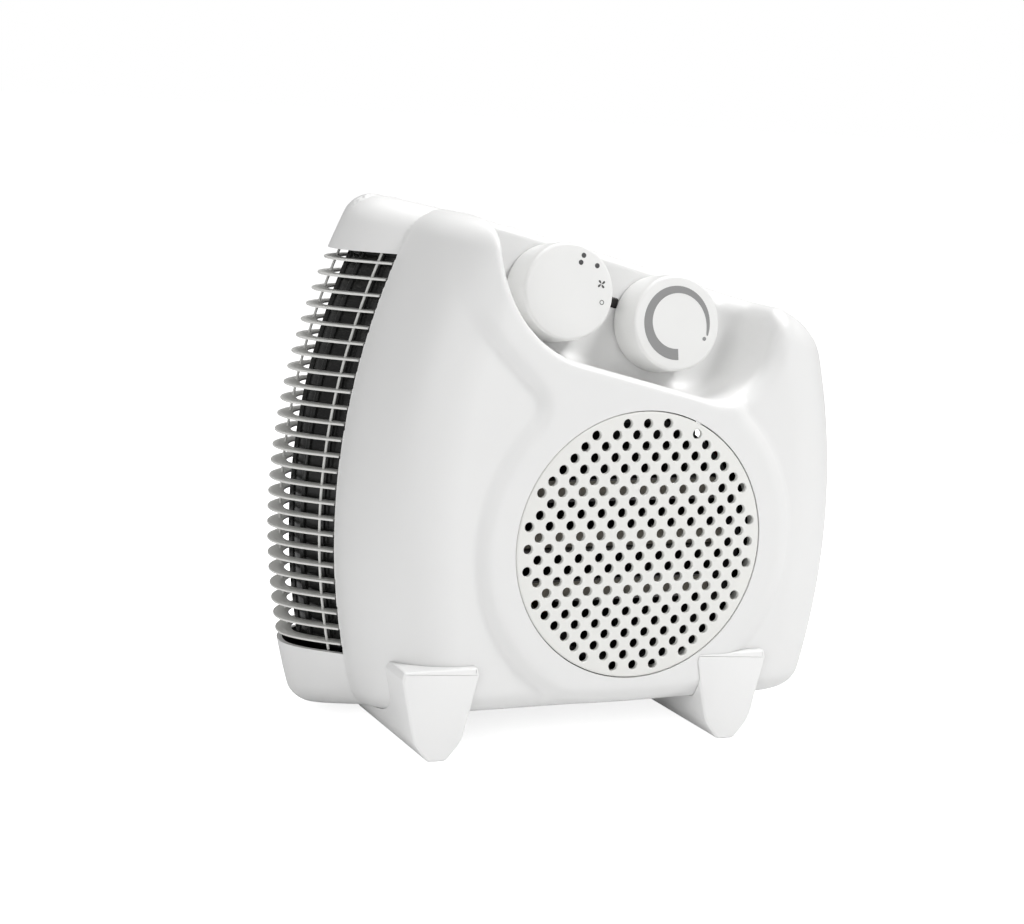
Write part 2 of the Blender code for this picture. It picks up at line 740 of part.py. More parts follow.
def knob(name, sign, body):
    bore = SPINDLE_RADIUS + GAP
    profile = [
        (0.0, KNOB_HEIGHT),
        (KNOB_RADIUS - KNOB_EDGE, KNOB_HEIGHT),
        (KNOB_RADIUS - KNOB_EDGE * 0.3, KNOB_HEIGHT - KNOB_EDGE * 0.3),
        (KNOB_RADIUS, KNOB_HEIGHT - KNOB_EDGE),
        (KNOB_RADIUS + KNOB_DRAFT, KNOB_CLEARANCE),
        (bore, KNOB_CLEARANCE),
        (bore, KNOB_CLEARANCE + SPINDLE_IN_KNOB + GAP),
        (0.0, KNOB_CLEARANCE + SPINDLE_IN_KNOB + GAP),
    ]
    return parent(revolve(name, profile, 40, WHITE, place=Matrix.Identity(4)), body)


def controls():
    for sign, name, switch in ((LEFT, "mode", "mode_switch"), (RIGHT, "thermostat", "thermostat")):
        axis = bpy.data.objects.new(f"{name}_axis", None)
        bpy.context.scene.collection.objects.link(axis)
        axis.matrix_world = PANEL @ Matrix.Translation((*knob_place(sign), 0))
        knob(f"{name}_knob", sign, axis)
        back = -WALL - GAP
        shaft_end = KNOB_CLEARANCE + SPINDLE_IN_KNOB
        shaft_start = back - SWITCH_DEPTH / 2
        spindle = [(circle(0, 0, SPINDLE_RADIUS, 12), shaft_start, shaft_end)]
        parent(prisms(f"{name}_spindle", spindle, upright, STEEL), axis)
        half = SWITCH_WIDTH / 2
        outline = rectangle(-half, half, -half, half)
        case = prisms(switch, [(outline, back - SWITCH_DEPTH, back)], upright, GREY)
        hole = circle(0, 0, SPINDLE_RADIUS + GAP, 12)
        well = prisms(f"{name}_well", [(hole, shaft_start - GAP, back + PAST)], upright)
        parent(well, axis)
        parent(cut(case, well), axis)
    prisms("indicator_lens", [(lens_outline(0.0), -WALL, LENS_PROUD)], on_panel, LENS)
    middle = (Vector(knob_place(LEFT)) + Vector(knob_place(RIGHT))) / 2
    lamp = circle(*(middle + Vector(LENS_SHIFT)), LENS_HEIGHT / 2, 10)
    prisms("indicator_lamp", [(lamp, -WALL - GAP - LAMP_LENGTH, -WALL - GAP)], on_panel, BRASS)


# Feet

def foot_outline(x):
    """A shield: flat on top, tapering to a rounded foot with a small flat underneath."""
    half, flat = FOOT_WIDTH / 2, FOOT_FLAT / 2
    right_side = [
        (flat, 0.0),
        (flat + (half - flat) * 0.30, FOOT_TOP * 0.06),
        (flat + (half - flat) * 0.52, FOOT_TOP * 0.20),
        (flat + (half - flat) * 0.82, FOOT_TOP * 0.55),
        (half, FOOT_TOP * 0.90),
        (half - 0.002, FOOT_TOP * 0.97),
        (half - 0.006, FOOT_TOP),
    ]
    return [(x + a, z) for a, z in right_side] + [(x - a, z) for a, z in right_side[::-1]]


def foot(side, x):
    piece = prisms(f"{side}_foot", [(foot_outline(x), FRONT_DEPTH, FOOT_LENGTH)], along_y, WHITE)
    rings = shell_rings(FACE_DEPTH - GAP, SEAM_DEPTH, -GAP)
    rings += shell_rings(SEAM_DEPTH, BACK_DEPTH, -GAP)[1:]
    boss = circle(GRILLE_X, GRILLE_HEIGHT, BOSS_RADIUS + GAP, 48)
    boss_cut = prisms(f"{side}_foot_boss_cut", [(boss, -PAST, DUCT_START)], along_y)
    cut(piece, loft(f"{side}_foot_body_cut", rings), boss_cut)
    wells, holes = [], []
    for name, depth in FOOT_SCREW_DEPTHS.items():
        top = FOOT_SCREW_SEAT
        wells.append((circle(x, depth, SCREW_HEAD_RADIUS + GAP, 12), -PAST, top))
        holes.append((circle(x, depth, SCREW_BORE, 8), -PAST, FOOT_TOP))
        place = Matrix.Translation((x, at(depth), top - GAP)) @ Matrix.Rotation(math.pi, 4, "X")
        reach = bottom_height(depth) + WALL + FOOT_SCREW_GRIP - top
        screw(f"foot_screw_{side}_{name}", place, reach)
    screw_holes = prisms(f"{side}_foot_holes", holes, along_z)
    cut(piece, screw_holes, prisms(f"{side}_foot_wells", wells, along_z))
    return screw_holes


# Heater

def on_axis(name, profile, finish_material, sides=36):
    return revolve(name, depth_profile(profile), sides, finish_material, x=GRILLE_X, z=GRILLE_HEIGHT)


def ring_profile(inner, outer, start, end):
    return [(inner, start), (outer, start), (outer, end), (inner, end)]


def box_at(name, x, z, start, end, finish_material):
    """A box on the fan's axis frame: x and z are (low, high) from the axis, in depth start to end."""
    outline = rectangle(GRILLE_X + x[0], GRILLE_X + x[1], GRILLE_HEIGHT + z[0], GRILLE_HEIGHT + z[1])
    return prisms(name, [(outline, start, end)], along_y, finish_material)


def heater():
    inner, end = DUCT_RADIUS - DUCT_WALL, DUCT_START + DUCT_LENGTH
    duct = on_axis("heater_duct", ring_profile(inner, DUCT_RADIUS, DUCT_START, end), BLACK)
    element_end = ELEMENT_DEPTH + ELEMENT_LENGTH
    bars = []
    for x in (-DUCT_BAR_X, DUCT_BAR_X):
        reach = math.sqrt(DUCT_RADIUS**2 - x**2) - DUCT_WALL / 2
        edges = (GRILLE_X + x - DUCT_BAR_WIDTH / 2, GRILLE_X + x + DUCT_BAR_WIDTH / 2)
        outline = rectangle(*edges, GRILLE_HEIGHT - reach, GRILLE_HEIGHT + reach)
        bars.append((outline, element_end + GAP, element_end + GAP + DUCT_BAR_THICKNESS))
    join(duct, prisms("duct_bars", bars, along_y))
    free = inner - ELEMENT_END_GAP
    for i in range(ELEMENT_COUNT):
        z = ((ELEMENT_COUNT - 1) / 2 - i) * ELEMENT_SPACING
        edge = abs(z) + ELEMENT_HEIGHT / 2
        half = math.sqrt(free**2 - edge**2)
        heights = (z - ELEMENT_HEIGHT / 2, z + ELEMENT_HEIGHT / 2)
        name = f"heater_element_{i + 1}"
        box_at(name, (-half, half), heights, ELEMENT_DEPTH, element_end, ALUMINIUM)
        if i == ELEMENT_COUNT - 1:
            continue
        strip_z = z - ELEMENT_SPACING / 2
        limit = (ELEMENT_SPACING - ELEMENT_HEIGHT) / 2 - GAP
        reach = math.sqrt(free**2 - (abs(strip_z) + limit) ** 2)
        heights = (strip_z - limit, strip_z + limit)
        start, finish_depth = ELEMENT_DEPTH + STRIP_INSET, element_end - STRIP_INSET
        box_at(f"ceramic_strip_{i + 1}", (-reach, reach), heights, start, finish_depth, CERAMIC)
    outline = circle(GRILLE_X + CUTOUT_X, CUTOUT_DEPTH, CUTOUT_RADIUS, 14)
    over_duct = math.sqrt((DUCT_RADIUS + GAP) ** 2 - (abs(CUTOUT_X) - CUTOUT_RADIUS) ** 2)
    low = GRILLE_HEIGHT + over_duct
    prisms("thermal_cutout", [(outline, low, low + CUTOUT_HEIGHT)], along_z, BLACK)
    fuse = circle(low + CUTOUT_HEIGHT / 2, CUTOUT_DEPTH, FUSE_RADIUS, 10)
    fuse_x = GRILLE_X + FUSE_X

    def across(height, depth, x):
        return Vector((x, at(depth), height))

    prisms("thermal_fuse", [(fuse, fuse_x, fuse_x + FUSE_LENGTH)], across, STEEL)


# Fan and motor

def blade_rings():
    stations = 5
    root = HUB_RADIUS * 0.7
    rings = []
    for i in range(stations):
        share = i / (stations - 1)
        radius = root + (FAN_RADIUS - root) * share
        pitch = math.radians(BLADE_PITCH[0] + (BLADE_PITCH[1] - BLADE_PITCH[0]) * share)
        chord = BLADE_CHORD[0] + BLADE_CHORD[1] * math.sin(share * math.pi * 0.72)
        along = Vector((0, math.cos(pitch), math.sin(pitch)))
        thick = Vector((0, -math.sin(pitch), math.cos(pitch))) * BLADE_THICKNESS / 2
        middle = Vector((radius, 0, FAN_LENGTH / 2))
        ends = (middle - along * chord / 2, middle + along * chord / 2)
        rings.append([ends[0] - thick, ends[1] - thick, ends[1] + thick, ends[0] + thick])
    return rings


def fan_rotor():
    axis = bpy.data.objects.new("fan_axis", None)
    bpy.context.scene.collection.objects.link(axis)
    back = Matrix.Translation((GRILLE_X, at(FAN_START + FAN_LENGTH), GRILLE_HEIGHT))
    axis.matrix_world = back @ OUT
    bore, chamfer = SHAFT_RADIUS + GAP, 0.002
    profile = [
        (bore, 0.0),
        (HUB_RADIUS, 0.0),
        (HUB_RADIUS, FAN_LENGTH - chamfer),
        (HUB_RADIUS - chamfer, FAN_LENGTH),
        (bore, FAN_LENGTH),
    ]
    hub = parent(revolve("fan_blade", profile, 24, BLACK, place=Matrix.Identity(4)), axis)
    mesh_data = bmesh.new()
    for i in range(FAN_BLADES):
        turn = Matrix.Rotation(2 * math.pi * i / FAN_BLADES, 4, "Z")
        add_rings(mesh_data, [[turn @ point for point in ring] for ring in blade_rings()])
    join(hub, parent(finish(mesh_data, "blades", None), axis))

    stator_end = STATOR_START + STATOR_LENGTH
    outline = circle(GRILLE_X, GRILLE_HEIGHT, SHAFT_RADIUS, 12)
    shaft = (outline, FAN_START - SHAFT_FRONT, stator_end + SHAFT_BACK)
    prisms("motor_shaft", [shaft], along_y, STEEL)
    clip_end = FAN_START - GAP
    clip = ring_profile(bore, bore + CLIP_WIDTH, clip_end - CLIP_LENGTH, clip_end)
    on_axis("fan_clip", clip, STEEL, 14)
    inset = 0.0005
    rotor = ring_profile(bore, ROTOR_RADIUS, STATOR_START + inset, stator_end - inset)
    on_axis("motor_rotor", rotor, ALUMINIUM, 24)


def fan_shroud():
    """The ring round the fan, and the bracket that is screwed across its back."""
    shroud_end = SHROUD_START + SHROUD_LENGTH
    ring = ring_profile(DUCT_RADIUS - DUCT_WALL, DUCT_RADIUS, SHROUD_START, shroud_end)
    shroud = on_axis("fan_shroud", ring, BLACK)
    bar_half = DUCT_RADIUS + TAB_REACH
    screw_x = DUCT_RADIUS + TAB_SCREW_OUT
    low, high = GRILLE_HEIGHT - TAB_HALF_HEIGHT, GRILLE_HEIGHT + TAB_HALF_HEIGHT
    tabs, bores = [], []
    for sign in (LEFT, RIGHT):
        root = GRILLE_X + sign * (DUCT_RADIUS - DUCT_WALL / 2)
        edges = sorted((root, GRILLE_X + sign * bar_half))
        tabs.append((rectangle(*edges, low, high), shroud_end - TAB_THICKNESS, shroud_end))
        bore = circle(GRILLE_X + sign * screw_x, GRILLE_HEIGHT, SCREW_BORE, 8)
        bores.append((bore, shroud_end - TAB_THICKNESS + TAB_THICKNESS / 12, shroud_end + PAST))
    join(shroud, prisms("shroud_tabs", tabs, along_y))
    tab_bores = prisms("tab_bores", bores, along_y)
    cut(shroud, tab_bores)

    start = shroud_end + GAP
    heights = (-BRACKET_HALF_HEIGHT, BRACKET_HALF_HEIGHT)
    end = start + BRACKET_THICKNESS
    bracket = box_at("motor_bracket", (-bar_half, bar_half), heights, start, end, STEEL)
    hole = circle(GRILLE_X, GRILLE_HEIGHT, SHAFT_RADIUS + STRAP_THICKNESS, 16)
    cut(bracket, prisms("bracket_hole", [(hole, start - PAST, end + PAST)], along_y), tab_bores)
    for side, sign in (("left", LEFT), ("right", RIGHT)):
        place = Matrix.Translation((GRILLE_X + sign * screw_x, at(end + GAP), GRILLE_HEIGHT))
        screw(f"bracket_screw_{side}", place @ FACING_BACK, BRACKET_SCREW_LENGTH)
    return end


def bearing(name, start, end, strap_start):
    running = SHAFT_RADIUS + RUNNING_GAP
    housing = on_axis(name, ring_profile(running, BEARING_RADIUS, start, end), BRASS, 20)
    widths = (-STATOR_HALF_WIDTH, STATOR_HALF_WIDTH)
    heights = (-STRAP_HALF_HEIGHT, STRAP_HALF_HEIGHT)
    depths = (strap_start, strap_start + STRAP_THICKNESS)
    strap = box_at(f"{name}_strap", widths, heights, *depths, None)
    hole = circle(GRILLE_X, GRILLE_HEIGHT, (running + BEARING_RADIUS) / 2, 16)
    cut(strap, prisms(f"{name}_hole", [(hole, start - PAST, end + PAST)], along_y))
    join(housing, strap)


def motor(bracket_end):
    end = STATOR_START + STATOR_LENGTH
    front_end = STATOR_START - GAP
    bearing("front_bearing", bracket_end + GAP, front_end, front_end - STRAP_THICKNESS)
    bearing("rear_bearing", end + GAP, end + GAP + BEARING_LENGTH, end + GAP)
    half = STATOR_HALF_WIDTH
    heights = (STATOR_BOTTOM, STATOR_TOP)
    stator = box_at("motor_stator", (-half, half), heights, STATOR_START, end, LAMINATION)
    bore = circle(GRILLE_X, GRILLE_HEIGHT, ROTOR_RADIUS + RUNNING_GAP, 24)
    cut(stator, prisms("stator_bore", [(bore, STATOR_START - PAST, end + PAST)], along_y))
    half, low, high = STATOR_WINDOW
    depths = (STATOR_START - PAST, end + PAST)
    cut(stator, box_at("stator_window", (-half, half), (low, high), *depths, None))
    coil_half, coil_low, coil_high = COIL
    depths = (STATOR_START - COIL_OVERHANG, end + COIL_OVERHANG)
    coil = box_at("motor_coil", (-coil_half, coil_half), (coil_low, coil_high), *depths, COPPER)
    heights = (STATOR_BOTTOM - GAP, low + GAP)
    depths = (STATOR_START - GAP, end + GAP)
    cut(coil, box_at("coil_hole", (-coil_half - PAST, coil_half + PAST), heights, *depths, None))


# Inlet and wiring

def inlet():
    inside = BACK_DEPTH - WALL - GAP
    proud, thickness = GLAND_FLANGE
    neck = GLAND_RADIUS - 2 * GAP
    profile = [
        (GLAND_BORE, BACK_DEPTH - GAP),
        (GLAND_RADIUS - GAP, BACK_DEPTH - GAP),
        (GLAND_RADIUS, BACK_DEPTH - 3 * GAP),
        (GLAND_RADIUS, inside),
        (GLAND_RADIUS + proud, inside),
        (GLAND_RADIUS + proud, inside - thickness),
        (neck, inside - thickness),
        (neck, inside - GLAND_NECK),
        (GLAND_BORE, inside - GLAND_NECK),
    ]
    revolve("cord_gland", depth_profile(profile), 20, BLACK, x=GLAND_X, z=GLAND_HEIGHT)
    left, right = GLAND_X - CLAMP_HALF_WIDTH, GLAND_X + CLAMP_HALF_WIDTH
    top = GLAND_HEIGHT - CLAMP_OPENING
    base = rectangle(left, right, top - CLAMP_BASE_HEIGHT, top)
    prisms("cord_clamp_base", [(base, CLAMP_START, CLAMP_START + CLAMP_LENGTH)], along_y, GREY)
    low = GLAND_HEIGHT + CLAMP_OPENING
    bar = rectangle(left, right, low, low + CLAMP_BAR_HEIGHT)
    prisms("cord_clamp_bar", [(bar, CLAMP_START, CLAMP_START + CLAMP_LENGTH)], along_y, GREY)
    heights = (GLAND_HEIGHT - BLOCK_HALF_HEIGHT, GLAND_HEIGHT + BLOCK_HALF_HEIGHT)
    block = rectangle(GLAND_X + BLOCK_X[0], GLAND_X + BLOCK_X[1], *heights)
    prisms("terminal_block", [(block, *BLOCK_DEPTHS)], along_y, GREY)


def wire(name, points, finish_material):
    """A short insulated wire through (x, depth, height) points."""
    curve = bpy.data.curves.new(name, "CURVE")
    curve.dimensions = "3D"
    curve.bevel_depth = WIRE_RADIUS
    curve.bevel_resolution = 1
    curve.use_fill_caps = True
    steps = 4
    route = [Vector((x, at(depth), z)) for x, depth, z in points]
    ends = [route[0] * 2 - route[1]] + route + [route[-1] * 2 - route[-2]]
    smooth = []
    for a, b, c, d in zip(ends, ends[1:], ends[2:], ends[3:]):
        for i in range(steps):
            t = i / steps
            bend = (2 * a - 5 * b + 4 * c - d) * t**2 + (3 * b - a - 3 * c + d) * t**3
            smooth.append(0.5 * (2 * b + (c - a) * t + bend))
    smooth.append(route[-1])
    spline = curve.splines.new("POLY")
    spline.points.add(len(smooth) - 1)
    for place, point in zip(spline.points, smooth):
        place.co = (*point, 1.0)
    obj = bpy.data.objects.new(name, curve)
    bpy.context.scene.collection.objects.link(obj)
    curve.materials.append(finish_material)
    return obj


def wiring():
    left_x, left_z = knob_x(LEFT), knob_height(LEFT)
    right_x, right_z = knob_x(RIGHT), knob_height(RIGHT)
    block_z = GLAND_HEIGHT + BLOCK_HALF_HEIGHT + 0.002
    duct_top = GRILLE_HEIGHT + DUCT_RADIUS
    coil_depth = STATOR_START + 0.0075
    supply = [
        (GLAND_X + 0.004, 0.058, block_z),
        (0.080, 0.066, 0.066),
        (0.083, 0.075, 0.110),
        (0.066, 0.074, right_z - 0.0316),
        (right_x + 0.004, 0.068, right_z - 0.002),
    ]
    link = [
        (left_x + 0.008, 0.0675, left_z),
        (KNOB_MIDDLE_X - 0.009, 0.076, left_z - 0.006),
        (right_x - 0.008, 0.0665, right_z),
    ]
    heater_feed = [
        (left_x - 0.004, 0.0675, left_z - 0.004),
        (left_x - 0.020, 0.074, left_z - 0.0225),
        (GRILLE_X - 0.044, 0.056, duct_top + 0.0073),
        (GRILLE_X - 0.034, 0.032, duct_top + 0.0028),
    ]
    motor_feed = [
        (GLAND_X - 0.010, 0.058, block_z),
        (0.044, 0.072, 0.050),
        (GRILLE_X + 0.030, coil_depth, GRILLE_HEIGHT + COIL[1] + 0.002),
        (GRILLE_X + 0.0155, coil_depth, GRILLE_HEIGHT + COIL[1] + 0.004),
    ]
    wire("wire_supply", supply, RED)
    wire("wire_link", link, RED)
    wire("wire_heater", heater_feed, BLUE)
    wire("wire_motor", motor_feed, BLUE)


def build():
    front, rear = front_shell(), rear_shell()
    for side, sign in (("left", LEFT), ("right", RIGHT)):
        louvre(side, sign)
        air_guard(side, sign)
        holes = foot(side, FOOT_X[side])
        cut(front, holes)
        cut(rear, holes)
    for name, x, z in post_places():
        head = BACK_DEPTH - SHELL_SCREW_WELL + GAP
        screw(name, Matrix.Translation((x, at(head), z)) @ FACING_BACK, SHELL_SCREW_LENGTH)
    outlet_grille()
    controls()
    heater()
    fan_rotor()
    motor(fan_shroud())
    inlet()
    wiring()


build()
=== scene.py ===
import json
import math

import bmesh
import bpy
import numpy as np
from mathutils import Matrix, Vector


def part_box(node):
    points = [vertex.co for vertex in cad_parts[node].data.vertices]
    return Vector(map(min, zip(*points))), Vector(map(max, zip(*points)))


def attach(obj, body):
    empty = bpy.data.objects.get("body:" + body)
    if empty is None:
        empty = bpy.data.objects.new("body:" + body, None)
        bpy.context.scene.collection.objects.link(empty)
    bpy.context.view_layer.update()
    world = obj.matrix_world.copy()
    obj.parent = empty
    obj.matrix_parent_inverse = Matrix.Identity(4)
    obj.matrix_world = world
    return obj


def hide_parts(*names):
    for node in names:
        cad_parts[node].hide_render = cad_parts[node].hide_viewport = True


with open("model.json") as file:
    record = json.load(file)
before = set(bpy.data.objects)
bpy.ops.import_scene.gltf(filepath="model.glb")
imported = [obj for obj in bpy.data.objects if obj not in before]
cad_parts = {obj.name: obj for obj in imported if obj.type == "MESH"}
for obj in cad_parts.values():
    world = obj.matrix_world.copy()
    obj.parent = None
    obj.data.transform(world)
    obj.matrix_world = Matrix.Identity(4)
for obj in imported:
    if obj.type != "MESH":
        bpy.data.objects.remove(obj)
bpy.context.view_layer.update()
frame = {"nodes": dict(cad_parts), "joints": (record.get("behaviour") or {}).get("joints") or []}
print("frame loaded:", len(frame["nodes"]), "nodes")

plateLow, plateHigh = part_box("outlet_grille")
plate = {
    "x": (plateLow.x + plateHigh.x) / 2,
    "z": (plateLow.z + plateHigh.z) / 2,
    "radius": (plateHigh.x - plateLow.x) / 2,
    "faceY": plateLow.y,
    "thickness": 0.002,
    "wall": 0.0016,
    "skirt": 0.007,
    "chamfer": 0.0003,
    "holeStep": 0.00483,  # half the pitch of the square pattern, which stands on its corner
    "holeRadius": 0.00215,
    "rimClear": 0.9,  # hole steps kept free inside the rim
}
louvreLow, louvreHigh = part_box("left_louvre")[0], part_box("right_louvre")[1]
joints = {joint["name"]: joint for joint in frame["joints"]}


def keepObject(name, mesh, material=None, smooth=30):
    obj = bpy.data.objects.new(name, mesh)
    bpy.context.scene.collection.objects.link(obj)
    if material:
        mesh.materials.clear()
        mesh.materials.append(material)
    mesh.shade_smooth()
    mesh.set_sharp_from_angle(angle=math.radians(smooth))
    return obj


def meshFrom(name, points, faces):
    mesh = bpy.data.meshes.new(name)
    mesh.from_pydata([tuple(point) for point in points], [], [tuple(face) for face in faces])
    work = bmesh.new()
    work.from_mesh(mesh)
    bmesh.ops.remove_doubles(work, verts=work.verts, dist=1e-6)
    bmesh.ops.recalc_face_normals(work, faces=work.faces)
    work.to_mesh(mesh)
    work.free()
    return mesh


def ringMesh(name, shapes):
    # each shape is a list of rings of points, closed with a flat cap at both ends
    points, faces = [], []
    for rings in shapes:
        start, count = len(points), len(rings[0])
        for ring in rings:
            points += ring
        for i in range(len(rings) - 1):
            for j in range(count):
                a, b = start + i * count, start + (i + 1) * count
                faces.append((a + j, a + (j + 1) % count, b + (j + 1) % count, b + j))
        faces.append(range(start, start + count))
        faces.append(range(start + (len(rings) - 1) * count, start + len(rings) * count))
    return meshFrom(name, points, faces)


def turnedMesh(name, profile, sides, place):
    # profile holds (radius, height) pairs; one that leaves the axis at both ends is a ring
    points, faces, rows = [], [], []
    for radius, height in profile:
        count = 1 if radius == 0 else sides
        rows.append((len(points), count))
        for i in range(count):
            turn = 2 * math.pi * i / sides
            points.append(place @ Vector((radius * math.cos(turn), radius * math.sin(turn), height)))
    pairs = list(zip(rows, rows[1:]))
    if profile[0][0] > 0:
        pairs.append((rows[-1], rows[0]))
    for (a, countA), (b, countB) in pairs:
        for i in range(sides):
            j = (i + 1) % sides
            corners = [a + i % countA, a + j % countA, b + j % countB, b + i % countB]
            corners = list(dict.fromkeys(corners))
            if len(corners) > 2:
                faces.append(corners)
    return meshFrom(name, points, faces)


def roundCorner(before, corner, after, radius, steps=6):
    # points of a fillet of this radius at a corner of an outline
    toBefore, toAfter = (before - corner).normalized(), (after - corner).normalized()
    half = toBefore.angle(toAfter) / 2
    middle = corner + (toBefore + toAfter).normalized() * (radius / math.sin(half))
    start = corner + toBefore * (radius / math.tan(half)) - middle
    end = corner + toAfter * (radius / math.tan(half)) - middle
    sweep = math.pi - 2 * half
    turned = []
    for i in range(steps + 1):
        share = i / steps
        spot = start * math.sin((1 - share) * sweep) + end * math.sin(share * sweep)
        turned.append(middle + spot / math.sin(sweep))
    return turned


def roundedOutline(corners, radii, steps=6):
    outline = []
    for i, corner in enumerate(corners):
        before, after = corners[i - 1], corners[(i + 1) % len(corners)]
        outline += roundCorner(before, corner, after, radii[i], steps)
    return outline


def circlePoints(x, z, radius, sides):
    turns = [2 * math.pi * i / sides for i in range(sides)]
    return [Vector((x + radius * math.cos(turn), z + radius * math.sin(turn))) for turn in turns]


def atDepth(depth):
    return plate["faceY"] + depth


def standFor(piece, body, slot, *nodes):
    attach(piece, body)
    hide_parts(*nodes)


def acrossY(outline, start, end):
    # rings of a prism that runs from one depth to another
    return [[Vector((p.x, atDepth(depth), p.y)) for p in outline] for depth in (start, end)]


def changeShape(obj, other, operation, solver="MANIFOLD"):
    # one solid joined to, or cut by, another, which is used up
    modifier = obj.modifiers.new(operation, "BOOLEAN")
    modifier.operation = operation
    modifier.solver = solver
    modifier.material_mode = "TRANSFER"
    modifier.object = other
    applyModifiers(obj)
    bpy.data.objects.remove(other)
    return obj


def softShade(obj, sharp):
    obj.data.shade_smooth()
    obj.data.set_sharp_from_angle(angle=math.radians(sharp))


def applyModifiers(obj):
    # what the modifiers make, kept as a plain mesh
    graph = bpy.context.evaluated_depsgraph_get()
    graph.update()
    mesh = bpy.data.meshes.new_from_object(obj.evaluated_get(graph))
    obj.modifiers.clear()
    obj.data = mesh
    return obj


def addNode(tree, kind, feeds=None, **settings):
    node = tree.nodes.new(kind)
    for name, value in settings.items():
        setattr(node, name, value)
    for key, value in (feeds or {}).items():
        socket = node.inputs[key]
        if isinstance(value, bpy.types.NodeSocket):
            tree.links.new(value, socket)
        else:
            socket.default_value = value
    return node


def addMath(tree, operation, *values):
    return addNode(tree, "ShaderNodeMath", dict(enumerate(values)), operation=operation).outputs[0]


def vectorAlong(tree, axis, value):
    return addNode(tree, "ShaderNodeCombineXYZ", {axis: value}).outputs[0]


def pointPlace(tree):
    place = tree.nodes.new("GeometryNodeInputPosition").outputs[0]
    return addNode(tree, "ShaderNodeSeparateXYZ", {0: place})


def newTree(name, kind, inputs, outputs):
    tree = bpy.data.node_groups.new(name, kind)
    for label, socket, value in inputs:
        made = tree.interface.new_socket(label, in_out="INPUT", socket_type=socket)
        if value is not None:
            made.default_value = value
    for label, socket in outputs:
        tree.interface.new_socket(label, in_out="OUTPUT", socket_type=socket)
    return tree, tree.nodes.new("NodeGroupInput"), tree.nodes.new("NodeGroupOutput")


def mouldedGrainGroup():
    # fine spark-eroded grain with a slow unevenness under it
    tree, given, result = newTree(
        "mouldedGrain", "ShaderNodeTree",
        [("Vector", "NodeSocketVector", None), ("Grain Scale", "NodeSocketFloat", 900.0),
         ("Flow Scale", "NodeSocketFloat", 18.0), ("Grain Share", "NodeSocketFloat", 0.6)],
        [("Height", "NodeSocketFloat"), ("Flow", "NodeSocketFloat"), ("Grain", "NodeSocketFloat")])
    fine = addNode(tree, "ShaderNodeTexNoise", {
        "Vector": given.outputs["Vector"], "Scale": given.outputs["Grain Scale"], "Detail": 3.0})
    slow = addNode(tree, "ShaderNodeTexNoise", {
        "Vector": given.outputs["Vector"], "Scale": given.outputs["Flow Scale"], "Detail": 2.0})
    share = given.outputs["Grain Share"]
    mixed = addNode(tree, "ShaderNodeMix", {
        "Factor": share, "A": slow.outputs["Fac"], "B": fine.outputs["Fac"]})
    tree.links.new(mixed.outputs["Result"], result.inputs["Height"])
    tree.links.new(slow.outputs["Fac"], result.inputs["Flow"])
    tree.links.new(fine.outputs["Fac"], result.inputs["Grain"])
    return tree


def restingDustGroup():
    # a thin film on what faces up, thicker in patches
    tree, given, result = newTree(
        "restingDust", "ShaderNodeTree",
        [("Vector", "NodeSocketVector", None), ("Amount", "NodeSocketFloat", 0.1),
         ("Patch Scale", "NodeSocketFloat", 60.0)],
        [("Mask", "NodeSocketFloat")])
    normal = tree.nodes.new("ShaderNodeNewGeometry").outputs["Normal"]
    up = addNode(tree, "ShaderNodeSeparateXYZ", {0: normal}).outputs["Z"]
    patches = addNode(tree, "ShaderNodeTexNoise", {
        "Vector": given.outputs["Vector"], "Scale": given.outputs["Patch Scale"], "Detail": 4.0})
    facing = addMath(tree, "MAXIMUM", up, 0.0)
    film = addMath(tree, "MULTIPLY", facing, patches.outputs["Fac"])
    tree.links.new(addMath(tree, "MULTIPLY", film, given.outputs["Amount"]), result.inputs["Mask"])
    return tree


def wornEdgeGroup():
    # polished or rubbed outer edges, broken up by a noise
    tree, given, result = newTree(
        "wornEdge", "ShaderNodeTree",
        [("Vector", "NodeSocketVector", None), ("Amount", "NodeSocketFloat", 0.3),
         ("Break Scale", "NodeSocketFloat", 220.0)],
        [("Mask", "NodeSocketFloat")])
    point = tree.nodes.new("ShaderNodeNewGeometry").outputs["Pointiness"]
    edge = addNode(tree, "ShaderNodeMapRange", {
        "Value": point, "From Min": 0.52, "From Max": 0.62, "To Min": 0.0, "To Max": 1.0})
    breaks = addNode(tree, "ShaderNodeTexNoise", {
        "Vector": given.outputs["Vector"], "Scale": given.outputs["Break Scale"], "Detail": 3.0})
    rubbed = addMath(tree, "MULTIPLY", edge.outputs["Result"], breaks.outputs["Fac"])
    tree.links.new(addMath(tree, "MULTIPLY", rubbed, given.outputs["Amount"]), result.inputs["Mask"])
    return tree


mouldedGrain = mouldedGrainGroup()
restingDust = restingDustGroup()
wornEdge = wornEdgeGroup()
print("shader groups built")


def startMaterial(name, roughness, metallic=0.0, **sockets):
    material = bpy.data.materials.new(name)
    material.use_nodes = True
    shader = material.node_tree.nodes["Principled BSDF"]
    shader.inputs["Roughness"].default_value = roughness
    shader.inputs["Metallic"].default_value = metallic
    for socket, value in sockets.items():
        shader.inputs[socket.replace("_", " ")].default_value = value
    place = addNode(material.node_tree, "ShaderNodeTexCoord").outputs["Object"]
    return material, material.node_tree, shader, place


def blend(tree, factor, first, second):
    node = addNode(tree, "ShaderNodeMix", {"Factor": factor}, data_type="RGBA")
    for key, value in (("A", first), ("B", second)):
        socket = next(s for s in node.inputs if s.name == key and s.type == "RGBA")
        if isinstance(value, bpy.types.NodeSocket):
            tree.links.new(value, socket)
        else:
            socket.default_value = (*value, 1.0)
    return next(s for s in node.outputs if s.type == "RGBA")


